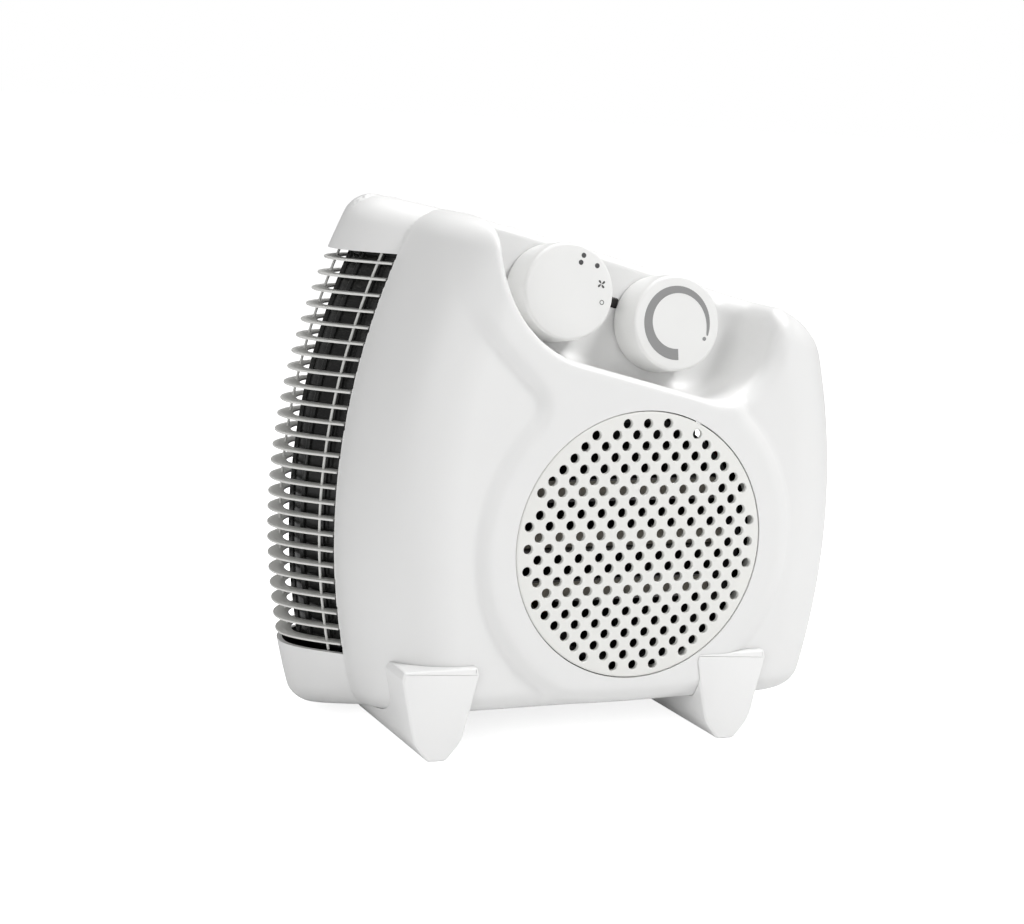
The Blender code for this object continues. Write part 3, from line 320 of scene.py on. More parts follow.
def setBump(tree, shader, height, strength, distance):
    bump = addNode(tree, "ShaderNodeBump", {"Height": height, "Strength": strength, "Distance": distance})
    tree.links.new(bump.outputs["Normal"], shader.inputs["Normal"])


def mouldedPlastic(name, colour, shade, roughness, grain, dust=0.0, worn=0.0, **sockets):
    # injection moulded plastic: grain in the bump, slow flow in the colour and the gloss
    material, tree, shader, place = startMaterial(name, roughness, **sockets)
    grainNode = addNode(tree, "ShaderNodeGroup", node_tree=mouldedGrain)
    for key, value in (("Grain Scale", grain["scale"]), ("Flow Scale", grain["flow"])):
        grainNode.inputs[key].default_value = value
    tree.links.new(place, grainNode.inputs["Vector"])
    colourOut = blend(tree, grainNode.outputs["Flow"], colour, shade)
    if dust:
        dustNode = addNode(tree, "ShaderNodeGroup", node_tree=restingDust)
        dustNode.inputs["Amount"].default_value = dust
        tree.links.new(place, dustNode.inputs["Vector"])
        colourOut = blend(tree, dustNode.outputs["Mask"], colourOut, (0.52, 0.50, 0.46))
    if worn:
        edgeNode = addNode(tree, "ShaderNodeGroup", node_tree=wornEdge)
        edgeNode.inputs["Amount"].default_value = worn
        tree.links.new(place, edgeNode.inputs["Vector"])
        paler = [min(1.0, channel * 1.25 + 0.02) for channel in colour]
        colourOut = blend(tree, edgeNode.outputs["Mask"], colourOut, paler)
    tree.links.new(colourOut, shader.inputs["Base Color"])
    gloss = addNode(tree, "ShaderNodeMapRange", {
        "Value": grainNode.outputs["Grain"], "From Min": 0.3, "From Max": 0.7,
        "To Min": roughness - 0.04, "To Max": roughness + 0.05})
    tree.links.new(gloss.outputs["Result"], shader.inputs["Roughness"])
    setBump(tree, shader, grainNode.outputs["Height"], grain["strength"], grain["depth"])
    return material


def metal(name, colour, shade, roughness, stretch, scale, stain=(0.2, 0.17, 0.14), stained=0.15):
    # drawn or rolled metal: a noise pulled out along one way, and light staining
    material, tree, shader, place = startMaterial(name, roughness, 1.0)
    pulled = addNode(tree, "ShaderNodeMapping", {"Vector": place, "Scale": stretch})
    lines = addNode(tree, "ShaderNodeTexNoise", {
        "Vector": pulled.outputs["Vector"], "Scale": scale, "Detail": 4.0})
    spots = addNode(tree, "ShaderNodeTexNoise", {"Vector": place, "Scale": 90.0, "Detail": 5.0})
    base = blend(tree, lines.outputs["Fac"], colour, shade)
    mask = addMath(tree, "MULTIPLY", spots.outputs["Fac"], stained)
    tree.links.new(blend(tree, mask, base, stain), shader.inputs["Base Color"])
    gloss = addNode(tree, "ShaderNodeMapRange", {
        "Value": lines.outputs["Fac"], "From Min": 0.25, "From Max": 0.75,
        "To Min": roughness - 0.08, "To Max": roughness + 0.12})
    tree.links.new(gloss.outputs["Result"], shader.inputs["Roughness"])
    setBump(tree, shader, lines.outputs["Fac"], 0.2, 0.0001)
    return material


def bandedMaterial(name, colour, shade, roughness, metallic, direction, scale, depth):
    # stacked sheets or wound turns: straight bands along one axis
    material, tree, shader, place = startMaterial(name, roughness, metallic)
    bands = addNode(tree, "ShaderNodeTexWave", {
        "Vector": place, "Scale": scale, "Distortion": 0.4, "Detail": 1.0},
        wave_type="BANDS", bands_direction=direction)
    tree.links.new(blend(tree, bands.outputs["Fac"], colour, shade), shader.inputs["Base Color"])
    setBump(tree, shader, bands.outputs["Fac"], 0.6, depth)
    return material


def ceramicMaterial():
    material, tree, shader, place = startMaterial("heaterCeramic", 0.75)
    specks = addNode(tree, "ShaderNodeTexNoise", {"Vector": place, "Scale": 700.0, "Detail": 6.0})
    clouds = addNode(tree, "ShaderNodeTexNoise", {"Vector": place, "Scale": 70.0, "Detail": 3.0})
    base = blend(tree, clouds.outputs["Fac"], (0.60, 0.56, 0.48), (0.42, 0.39, 0.34))
    tree.links.new(blend(tree, addMath(tree, "MULTIPLY", specks.outputs["Fac"], 0.4), base,
                         (0.3, 0.27, 0.24)), shader.inputs["Base Color"])
    setBump(tree, shader, specks.outputs["Fac"], 0.5, 0.0002)
    return material


def floorMaterial():
    # pale paper, lifted for the camera only so that it runs into the backdrop
    material, tree, shader, place = startMaterial("studioFloor", 0.7)
    paper = addNode(tree, "ShaderNodeTexNoise", {"Vector": place, "Scale": 6.0, "Detail": 3.0})
    colour = blend(tree, paper.outputs["Fac"], (0.93, 0.93, 0.93), (0.90, 0.90, 0.90))
    tree.links.new(colour, shader.inputs["Base Color"])
    tree.links.new(colour, shader.inputs["Emission Color"])
    path = addNode(tree, "ShaderNodeLightPath")
    lift = addMath(tree, "MULTIPLY", path.outputs["Is Camera Ray"], 0.86)
    tree.links.new(lift, shader.inputs["Emission Strength"])
    return material


shellGrain = {"scale": 1100.0, "flow": 14.0, "strength": 0.12, "depth": 0.0001}
smoothGrain = {"scale": 700.0, "flow": 22.0, "strength": 0.05, "depth": 0.0001}
whiteShell = mouldedPlastic("whiteShell", (0.80, 0.80, 0.795), (0.775, 0.775, 0.77), 0.42, shellGrain,
                            dust=0.05, worn=0.1)
whiteGrille = mouldedPlastic("whiteGrille", (0.80, 0.80, 0.775), (0.77, 0.77, 0.745), 0.45, shellGrain,
                             dust=0.04)
whiteKnob = mouldedPlastic("whiteKnob", (0.80, 0.80, 0.79), (0.785, 0.785, 0.775), 0.36, smoothGrain,
                           worn=0.15)
whiteFin = mouldedPlastic("whiteFin", (0.78, 0.78, 0.76), (0.72, 0.72, 0.70), 0.42, smoothGrain, dust=0.25)
# the shell's white plastic made paler for the feet: painted light standing in for the light they catch
whiteFootPaintedLight = mouldedPlastic("whiteFootPaintedLight", (0.86, 0.86, 0.855), (0.84, 0.84, 0.835), 0.44, shellGrain,
                           worn=0.2)
# near-black painted shade for the casings' inner faces, screw posts and hole walls, standing in for the
# dark inside of the body
paintedShadeBlack = mouldedPlastic("paintedShadeBlack", (0.006, 0.006, 0.006), (0.010, 0.010, 0.010), 0.6, shellGrain)
glossBlack = mouldedPlastic("glossBlack", (0.010, 0.010, 0.010), (0.018, 0.018, 0.018), 0.22,
                            {"scale": 400.0, "flow": 90.0, "strength": 0.35, "depth": 0.0003}, dust=0.12)
ductBlack = mouldedPlastic("ductBlack", (0.015, 0.015, 0.016), (0.024, 0.024, 0.024), 0.4, smoothGrain,
                           dust=0.1)
switchNylon = mouldedPlastic("switchNylon", (0.42, 0.42, 0.41), (0.36, 0.36, 0.35), 0.5, smoothGrain,
                             dust=0.2)
screenBlack = mouldedPlastic("screenBlack", (0.004, 0.004, 0.004), (0.012, 0.012, 0.012), 0.20,
                             {"scale": 160.0, "flow": 60.0, "strength": 0.5, "depth": 0.0006}, dust=0.1)
windowBlack = mouldedPlastic("windowBlack", (0.008, 0.007, 0.007), (0.014, 0.012, 0.012), 0.14,
                             {"scale": 300.0, "flow": 40.0, "strength": 0.03, "depth": 0.0001})
markDark = mouldedPlastic("markDark", (0.055, 0.055, 0.055), (0.075, 0.075, 0.075), 0.5, smoothGrain)
markGrey = mouldedPlastic("markGrey", (0.25, 0.25, 0.25), (0.29, 0.29, 0.29), 0.5, smoothGrain)
redSleeve = mouldedPlastic("redSleeve", (0.45, 0.03, 0.02), (0.36, 0.03, 0.02), 0.4, smoothGrain, dust=0.15)
blueSleeve = mouldedPlastic("blueSleeve", (0.03, 0.08, 0.40), (0.03, 0.06, 0.30), 0.4, smoothGrain,
                            dust=0.15)
lampGlass = mouldedPlastic("lampGlass", (0.60, 0.30, 0.16), (0.50, 0.22, 0.12), 0.12, smoothGrain)
zincSteel = metal("zincSteel", (0.62, 0.63, 0.64), (0.50, 0.51, 0.52), 0.34, (1, 1, 1), 260.0)
bronze = metal("bronze", (0.62, 0.43, 0.22), (0.48, 0.32, 0.15), 0.42, (1, 1, 1), 300.0)
aluminium = metal("aluminium", (0.78, 0.79, 0.80), (0.66, 0.67, 0.68), 0.32, (1, 14, 1), 60.0, stained=0.05)
# aluminium foil painted dark grey: painted shade standing in for the dark inside of the body
foilAluminiumPaintedShade = metal("foilAluminiumPaintedShade", (0.20, 0.20, 0.21), (0.12, 0.12, 0.125), 0.30, (1, 14, 1), 60.0,
                      stained=0.3)
lamination = bandedMaterial("lamination", (0.30, 0.30, 0.31), (0.16, 0.16, 0.17), 0.5, 1.0, "Y", 320.0,
                            0.0002)
winding = bandedMaterial("winding", (0.62, 0.30, 0.12), (0.36, 0.16, 0.06), 0.38, 0.6, "X", 300.0, 0.0003)
heaterCeramic = ceramicMaterial()
print("materials built")


form = {
    "seamHalf": 0.118,
    "rearHalf": louvreHigh.x,
    "faceHalf": 0.080,
    "faceDepth": 0.003,
    "seamDepth": 0.050,
    "flareDepth": 0.078,
    "backDepth": 0.108,
    "topHeight": 0.212,
    "topArch": 0.004,
    "topSlant": math.radians(14.0),
    "widestHeight": 0.095,
    "sideRadius": 0.278,
    "groundGap": 0.019,
    "undersideFall": 0.17,
    "topEdge": 0.0135,
    "backEdge": 0.010,
    "lowerEdge": 0.009,
    "wall": 0.0024,
    "step": 0.0015,  # spacing of the mesh that follows the field
}
raised = {
    "radius": 0.076,  # the round boss about the outlet
    "height": 0.0030,
    "slope": 0.0075,  # width of its sloping border
    "leftWaist": (-0.045, 0.152),
    "rightWaist": (0.052, 0.156),
    "leftLean": 1.0,  # rise of the neck's borders for each step outwards
    "rightLean": 1.12,
    "waistRound": 0.010,
    "fadeFrom": 0.064,
    "fadeTo": 0.084,
}
scoop = {
    "halfWidth": 0.066,
    "below": 0.030,  # under the line of the knobs' axes
    "cornerRound": 0.036,
    "panelDepth": 0.040,
    "panelTilt": math.radians(8.0),
    "cove": 0.0105,
    "lip": 0.0038,
    "softLip": 0.009,  # towards the right-hand end
}
knobSpots = {}
for side, name in (("left", "mode_knob_turn"), ("right", "thermostat_knob_turn")):
    knobSpots[side] = Vector(joints[name]["pos_m"])


def sagAt(z):
    return (z - form["widestHeight"]) ** 2 / (2 * form["sideRadius"])


def topAt(x):
    arch = form["topArch"] * (1 - (x / form["seamHalf"]) ** 2)
    return form["topHeight"] - form["topArch"] + arch - math.tan(form["topSlant"]) * x


def crossRound(a, b, radius):
    # where two fields meet, with a rounded outer edge
    u, v = np.maximum(radius + a, 0), np.maximum(radius + b, 0)
    return np.minimum(-radius, np.maximum(a, b)) + np.sqrt(u * u + v * v)


def joinRound(a, b, radius):
    u, v = np.maximum(radius - a, 0), np.maximum(radius - b, 0)
    return np.maximum(radius, np.minimum(a, b)) - np.sqrt(u * u + v * v)


def smoothShare(value, start, end):
    share = np.clip((value - start) / (end - start), 0, 1)
    return share * share * (3 - 2 * share)


def sideField(wide, depth):
    face, seam, rear = form["faceHalf"], form["seamHalf"], form["rearHalf"]
    a, b = seam - face, form["seamDepth"] - form["faceDepth"]
    u = np.maximum(wide - face, 0) / a
    v = np.maximum(form["seamDepth"] - depth, 0) / b
    reach = np.sqrt(u * u + v * v)
    safe = np.maximum(reach, 1e-9)
    steep = np.maximum(np.sqrt((u / safe / a) ** 2 + (v / safe / b) ** 2), 1 / b)
    front = (reach - 1) / steep
    run = form["flareDepth"] - form["seamDepth"]
    turn = np.clip((depth - form["seamDepth"]) / run, 0, 1) * math.pi / 2
    slope = (rear - seam) * math.pi / 2 / run * np.cos(turn)
    flare = (wide - seam - (rear - seam) * np.sin(turn)) / np.sqrt(1 + slope**2)
    corner = form["backDepth"] - form["flareDepth"]
    past = np.maximum(wide - rear + corner, 0)
    back = np.sqrt(past**2 + np.maximum(depth - form["flareDepth"], 0) ** 2) - corner
    return np.where(depth < form["seamDepth"], front, np.where(depth < form["flareDepth"], flare, back))


def raisedHeight(x, z):
    disc = np.hypot(x - plate["x"], z - plate["z"]) - raised["radius"]
    leftX, leftZ = raised["leftWaist"]
    rightX, rightZ = raised["rightWaist"]
    left = -((x - leftX) * raised["leftLean"] + (z - leftZ)) / math.hypot(raised["leftLean"], 1)
    right = ((x - rightX) * raised["rightLean"] - (z - rightZ)) / math.hypot(raised["rightLean"], 1)
    outside = joinRound(disc, np.maximum(left, right), raised["waistRound"])
    share = np.clip(-outside / raised["slope"], 0, 1)
    fade = 1 - smoothShare(np.abs(x), raised["fadeFrom"], raised["fadeTo"])
    fade = np.where(z > plate["z"] + raised["radius"], fade, 1.0)
    return raised["height"] * np.sin(share * math.pi / 2) * fade


panelMiddle = (knobSpots["left"] + knobSpots["right"]) / 2
panelHeight = panelMiddle.z
knobSlope = (knobSpots["right"].z - knobSpots["left"].z) / (knobSpots["right"].x - knobSpots["left"].x)


def scoopField(x, depth, z):
    # negative in the scooped-out space round the knobs
    tilt = scoop["panelTilt"]
    back, rise = depth - scoop["panelDepth"], z - panelHeight
    inFront = -back * math.cos(tilt) + rise * math.sin(tilt)
    up = back * math.sin(tilt) + rise * math.cos(tilt)
    lean = math.hypot(1, knobSlope)
    lower = -(up - knobSlope * (x - panelMiddle.x)) / lean - scoop["below"]
    outline = crossRound(np.abs(x) - scoop["halfWidth"], lower, scoop["cornerRound"])
    return crossRound(outline, -inFront, scoop["cove"])


def bodyField(x, y, z):
    depth = y - plate["faceY"]
    lift = raisedHeight(x, z) * (1 - smoothShare(depth, 0.018, 0.045))
    side = sideField(np.abs(x) + sagAt(z), depth + lift)
    top = (z - topAt(x)) * math.cos(form["topSlant"])
    edge = np.where(depth < form["flareDepth"], form["topEdge"], form["backEdge"])
    solid = crossRound(side, top, edge)
    low = form["groundGap"] - form["undersideFall"] * (depth - form["faceDepth"])
    solid = crossRound(solid, low - z, form["lowerEdge"])
    lip = scoop["lip"] + (scoop["softLip"] - scoop["lip"]) * smoothShare(x, 0.025, 0.060)
    return crossRound(solid, -scoopField(x, depth, z), lip)


def netFromField(name, field, low, high, step):
    # a quad mesh on a field's zero surface: one point in each grid cell that it crosses
    axes = [np.arange(low[i], high[i] + step, step) for i in range(3)]
    values = field(*np.meshgrid(*axes, indexing="ij"))
    inside = values < 0
    cells = tuple(n - 1 for n in values.shape)
    total, count = np.zeros((*cells, 3)), np.zeros(cells)
    crossings = []
    for axis in range(3):
        first = [slice(None)] * 3
        second = [slice(None)] * 3
        first[axis], second[axis] = slice(0, -1), slice(1, None)
        a, b = values[tuple(first)], values[tuple(second)]
        spots = np.argwhere(inside[tuple(first)] != inside[tuple(second)])
        share = a[tuple(spots.T)] / (a[tuple(spots.T)] - b[tuple(spots.T)])
        place = spots.astype(float)
        place[:, axis] += share
        others = [i for i in range(3) if i != axis]
        around = []
        for du, dv in ((0, 0), (-1, 0), (-1, -1), (0, -1)):
            cell = spots.copy()
            cell[:, others[0]] += du
            cell[:, others[1]] += dv
            around.append(cell)
            np.add.at(total, tuple(cell.T), place)
            np.add.at(count, tuple(cell.T), 1)
        crossings.append(around)
    used = np.argwhere(count > 0)
    index = -np.ones(cells, int)
    index[tuple(used.T)] = np.arange(len(used))
    points = np.array([a[0] for a in axes]) + step * total[tuple(used.T)] / count[tuple(used.T)][:, None]
    faces = np.concatenate([np.stack([index[tuple(c.T)] for c in around], 1) for around in crossings])
    points = settlePoints(field, points, faces, step)
    return meshFrom(name, points.tolist(), faces.tolist())


def pullToField(field, points, step):
    # one Newton step along the field's slope
    reach = step * 0.1
    slope = np.zeros_like(points)
    for axis in range(3):
        shift = np.zeros(3)
        shift[axis] = reach
        slope[:, axis] = (field(*(points + shift).T) - field(*(points - shift).T)) / (2 * reach)
    length = np.maximum((slope**2).sum(1), 1e-6)
    move = -(field(*points.T) / length)[:, None] * slope
    size = np.linalg.norm(move, axis=1, keepdims=True)
    return points + move * np.minimum(1, step * 0.5 / np.maximum(size, 1e-12))


def settlePoints(field, points, faces, step, rounds=6):
    # evens the mesh out along the surface, and keeps it on the surface
    edges = np.concatenate([faces[:, [i, (i + 1) % 4]] for i in range(4)])
    for _ in range(rounds):
        total, count = np.zeros_like(points), np.zeros(len(points))
        for a, b in ((0, 1), (1, 0)):
            np.add.at(total, edges[:, a], points[edges[:, b]])
            np.add.at(count, edges[:, a], 1)
        points = points + 0.5 * (total / count[:, None] - points)
        points = pullToField(field, points, step)
    return pullToField(field, points, step)


netLow = (louvreLow.x - 0.004, atDepth(-0.004), -0.004)
netHigh = (louvreHigh.x + 0.004, atDepth(form["backDepth"] + 0.004), topAt(-form["seamHalf"]) + 0.004)
outerMesh = netFromField("outerForm", bodyField, netLow, netHigh, form["step"])
print("outer form:", len(outerMesh.polygons), "faces")


def innerField(x, y, z):
    return bodyField(x, y, z) + form["wall"]


innerMesh = netFromField("innerForm", innerField, netLow, netHigh, form["step"] * 1.6)
print("inner form:", len(innerMesh.polygons), "faces")


casing = {
    "seam": form["seamDepth"],
    "seamGap": 0.00008,
    "plateGap": 0.0004,
    "spindleHole": 0.004,
    "wellRadius": 0.0035,
    "boreRadius": 0.0017,
    "postRadius": 0.0045,
    "wellFloor": 0.102,
    "inletRadius": 0.0058,
    "plateSeat": 0.014,  # how far back the outlet's opening is cut
    "holeDepth": 0.006,
    "past": 0.01,  # how far a cutter runs past what it cuts
    "far": 0.3,
}
louvreSize = {
    "backX": 0.086,
    "openLow": 0.035,
    "fit": 0.0003,
    "pitch": 0.0069,
    "thickness": 0.00095,
    "depth": 0.007,
    "ribRadius": 0.0006,
    "ribPlaces": (0.12, 0.5, 0.965),
    "guardInset": 0.0105,
    "screenInset": 0.0118,
    "screenThickness": 0.0008,
    "guardRadius": 0.0013,
    "guardCount": 7,
    "guardSpan": (0.06, 0.80),
    "guardClear": 0.001,
    "railHeight": 0.0024,
    "railDepth": 0.0026,
    "levels": 24,  # points up each bar and the screen
}


def rectangle(left, right, low, high):
    return [Vector(p) for p in ((left, low), (right, low), (right, high), (left, high))]


def prismObject(name, outlines, start, end, material):
    shapes = [acrossY(outline, start, end) for outline in outlines]
    return keepObject(name, ringMesh(name, shapes), material)


def panelPlace(side):
    # x to the right, y up the panel and z out of it, from the foot of a knob's axis
    out = Vector(joints["mode_knob_turn"]["axis"]).normalized()
    across = Vector((1, 0, 0))
    up = out.cross(across)
    place = Matrix((across, up, out)).transposed().to_4x4()
    place.translation = knobSpots[side] if side else windowSpot(up)
    return place


def windowSpot(up):
    # the lens stands on the panel, beside the middle between the knobs
    middle = boxMiddle("indicator_lens")
    rise = (middle - panelMiddle).dot(up)
    return Vector((middle.x, panelMiddle.y, panelMiddle.z)) + up * rise


def turnedAcross(profile, x, z, sides, name):
    # turned about a line that runs from front to back, heights as depths
    place = Matrix.Translation((x, plate["faceY"], z)) @ Matrix.Rotation(-math.pi / 2, 4, "X")
    return turnedMesh(name, profile, sides, place)


def boxMiddle(node):
    low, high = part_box(node)
    return (low + high) / 2


screwSpots = {}
for name in ("shell_screw_lower_left", "shell_screw_lower_right",
             "shell_screw_upper_left", "shell_screw_upper_right"):
    screwSpots[name] = boxMiddle(name)
gland = boxMiddle("cord_gland")
louvreTops = {-1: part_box("left_louvre")[1].z, 1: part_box("right_louvre")[1].z}


windowSize = {
    "half": Vector((0.0050, 0.0021)),
    "round": 0.0009,
    "proud": 0.0006,
    "edge": 0.0005,
    "fit": 0.0002,
}


def panelRings(outlines, heights, place):
    return [[place @ Vector((p.x, p.y, h)) for p in o] for o, h in zip(outlines, heights)]


def makeFrontCasing():
    shell = keepObject("front_casing", outerMesh.copy(), whiteShell, 38)
    # the hollow's cut faces take the near-black painted shade
    changeShape(shell, keepObject("frontHollow", innerMesh.copy(), paintedShadeBlack), "DIFFERENCE")
    far = casing["far"]
    behind = prismObject("behindSeam", [rectangle(-far, far, -far, 2 * far)],
                         casing["seam"] - casing["seamGap"] / 2, far, whiteShell)
    changeShape(shell, behind, "DIFFERENCE")
    opening = circlePoints(plate["x"], plate["z"], plate["radius"] + casing["plateGap"], 160)
    past, deep, radius = casing["past"], casing["holeDepth"], casing["spindleHole"]
    cutter = prismObject("plateOpening", [opening], -past, casing["plateSeat"], whiteShell)
    changeShape(shell, cutter, "DIFFERENCE")
    # the spindle and window holes' walls take the near-black painted shade
    for side in ("left", "right"):
        profile = [(0, -past), (radius, -past), (radius, deep), (0, deep)]
        hole = turnedMesh("spindleHole", profile, 32, panelPlace(side))
        changeShape(shell, keepObject("spindleHole", hole, paintedShadeBlack), "DIFFERENCE")
    outline = windowRing(windowSize["fit"])
    hole = ringMesh("windowHole", [panelRings([outline, outline], (-past, deep), panelPlace(None))])
    changeShape(shell, keepObject("windowHole", hole, paintedShadeBlack), "DIFFERENCE")
    finishCasing(shell, "front_shell")
    return shell


def windowRing(grow):
    half = windowSize["half"] + Vector((grow, grow))
    corners = rectangle(-half.x, half.x, -half.y, half.y)
    lean = Matrix.Rotation(math.atan(knobSlope), 2)
    return [lean @ p for p in roundedOutline(corners, [windowSize["round"] + grow] * 4, 5)]


def finishCasing(shell, node):
    softShade(shell, 38)
    standFor(shell, "housing", "white_shell", node)


def makeRearCasing():
    shell = keepObject("rear_casing", outerMesh.copy(), whiteShell, 38)
    # the hollow's cut faces take the near-black painted shade
    changeShape(shell, keepObject("rearHollow", innerMesh.copy(), paintedShadeBlack), "DIFFERENCE")
    far = casing["far"]
    front = prismObject("beforeSeam", [rectangle(-far, far, -far, 2 * far)],
                        -far, casing["seam"] + casing["seamGap"] / 2, whiteShell)
    changeShape(shell, front, "DIFFERENCE")
    openings = []
    for side in (-1, 1):
        left, right = sorted((side * louvreSize["backX"], side * far))
        openings.append(rectangle(left, right, louvreSize["openLow"], louvreTops[side] + louvreSize["fit"]))
    past, seam, back = casing["past"], casing["seam"], form["backDepth"]
    cutter = prismObject("louvreOpenings", openings, seam - past, far, whiteShell)
    changeShape(shell, cutter, "DIFFERENCE")
    spots = [(p.x, p.z) for p in screwSpots.values()]
    posts = [circlePoints(x, z, casing["postRadius"], 32) for x, z in spots]
    bores = [circlePoints(x, z, casing["boreRadius"], 24) for x, z in spots]
    wells = [circlePoints(x, z, casing["wellRadius"], 40) for x, z in spots]
    inlet = circlePoints(gland.x, gland.z, casing["inletRadius"], 48)
    # the screw posts are painted the same near-black shade
    posts = prismObject("posts", posts, seam + 0.001, back - 0.001, paintedShadeBlack)
    changeShape(shell, posts, "UNION")
    for name, outlines, start in (("bores", bores, seam - past), ("wells", wells, casing["wellFloor"]),
                                  ("inletHole", [inlet], back - past)):
        changeShape(shell, prismObject(name, outlines, start, back + past, whiteShell), "DIFFERENCE")
    finishCasing(shell, "rear_shell")
    return shell


frontCasing = makeFrontCasing()
rearCasing = makeRearCasing()
print("casings:", len(frontCasing.data.polygons), len(rearCasing.data.polygons), "faces")


def geometryTree(name, inputs):
    tree, given, result = newTree(
        name, "GeometryNodeTree", [("Geometry", "NodeSocketGeometry", None)] + inputs,
        [("Geometry", "NodeSocketGeometry")])
    return tree, given.outputs, result


def endTree(tree, result, geometry, material):
    real = addNode(tree, "GeometryNodeRealizeInstances", {"Geometry": geometry}).outputs[0]
    painted = addNode(tree, "GeometryNodeSetMaterial", {"Geometry": real, "Material": material}).outputs[0]
    tree.links.new(painted, result.inputs["Geometry"])


def growMesh(name, base, tree, values, smooth=30):
    # runs a tree on a base mesh and keeps the result as a plain mesh
    obj = bpy.data.objects.new(name, base)
    bpy.context.scene.collection.objects.link(obj)
    modifier = obj.modifiers.new(tree.name, "NODES")
    modifier.node_group = tree
    for item in tree.interface.items_tree:
        if item.in_out == "INPUT" and item.name in values:
            modifier[item.identifier] = values[item.name]
    applyModifiers(obj)
    work = bmesh.new()
    work.from_mesh(obj.data)
    bmesh.ops.recalc_face_normals(work, faces=work.faces)
    work.to_mesh(obj.data)
    work.free()
    softShade(obj, smooth)
    return obj


def bowShift(tree, given, geometry):
    # draws points in towards the middle with the height, as the casing's sides do
    spot = pointPlace(tree)
    follow = addNode(tree, "GeometryNodeInputNamedAttribute", {"Name": "follow"},
                     data_type="FLOAT").outputs[0]
    rise = addMath(tree, "SUBTRACT", spot.outputs["Z"], given["Widest Height"])
    sag = addMath(tree, "DIVIDE", addMath(tree, "MULTIPLY", rise, rise),
                  addMath(tree, "MULTIPLY", given["Bow Radius"], -2.0))
    shift = addMath(tree, "MULTIPLY", addMath(tree, "MULTIPLY", sag, follow), given["Side"])
    offset = vectorAlong(tree, "X", shift)
    return addNode(tree, "GeometryNodeSetPosition", {"Geometry": geometry, "Offset": offset}).outputs[0]


bowInputs = [
    ("Count", "NodeSocketInt", 20), ("Low", "NodeSocketFloat", 0.04), ("Step", "NodeSocketFloat", 0.007),
    ("Side", "NodeSocketFloat", 1.0), ("Widest Height", "NodeSocketFloat", 0.095),
    ("Bow Radius", "NodeSocketFloat", 0.278), ("Thickness", "NodeSocketFloat", 0.001),
    ("Depth", "NodeSocketFloat", 0.007), ("Material", "NodeSocketMaterial", None)]


def pointsUpwards(tree, given):
    return addNode(tree, "GeometryNodeMeshLine", {
        "Count": given["Count"], "Start Location": vectorAlong(tree, "Z", given["Low"]),
        "Offset": vectorAlong(tree, "Z", given["Step"])}).outputs[0]


def bowedFinsTree():
    # level strips stacked at even steps along the path
    tree, given, result = geometryTree("bowedFins", bowInputs)
    levels = pointsUpwards(tree, given)
    placed = addNode(tree, "GeometryNodeInstanceOnPoints", {
        "Points": levels, "Instance": given["Geometry"]}).outputs[0]
    real = addNode(tree, "GeometryNodeRealizeInstances", {"Geometry": placed}).outputs[0]
    bowed = bowShift(tree, given, real)
    curve = addNode(tree, "GeometryNodeMeshToCurve", {"Mesh": bowed}).outputs[0]
    level = addNode(tree, "GeometryNodeSetCurveNormal", {"Curve": curve}, mode="Z_UP").outputs[0]
    outline = addNode(tree, "GeometryNodeCurvePrimitiveQuadrilateral", {
        "Width": given["Depth"], "Height": given["Thickness"]}).outputs[0]
    soft = addNode(tree, "GeometryNodeFilletCurve", {
        "Curve": outline, "Radius": addMath(tree, "MULTIPLY", given["Thickness"], 0.35), "Count": 2},
        mode="POLY").outputs[0]
    half = addMath(tree, "MULTIPLY", addMath(tree, "MULTIPLY", given["Depth"], -0.5), given["Side"])
    shifted = addNode(tree, "GeometryNodeTransform", {
        "Geometry": soft, "Translation": vectorAlong(tree, "X", half)}).outputs[0]
    fins = addNode(tree, "GeometryNodeCurveToMesh", {
        "Curve": level, "Profile Curve": shifted, "Fill Caps": True}).outputs[0]
    endTree(tree, result, fins, given["Material"])
    return tree


def bowedBarsTree():
    # upright round bars, one at each point of the base mesh
    tree, given, result = geometryTree("bowedBars", bowInputs)
    placed = addNode(tree, "GeometryNodeInstanceOnPoints", {
        "Points": given["Geometry"], "Instance": pointsUpwards(tree, given)}).outputs[0]
    real = addNode(tree, "GeometryNodeRealizeInstances", {"Geometry": placed}).outputs[0]
    bowed = bowShift(tree, given, real)
    curve = addNode(tree, "GeometryNodeMeshToCurve", {"Mesh": bowed}).outputs[0]
    outline = addNode(tree, "GeometryNodeCurvePrimitiveCircle", {
        "Resolution": 12, "Radius": given["Thickness"]}).outputs[0]
    bars = addNode(tree, "GeometryNodeCurveToMesh", {
        "Curve": curve, "Profile Curve": outline, "Fill Caps": True}).outputs[0]
    endTree(tree, result, bars, given["Material"])
    return tree


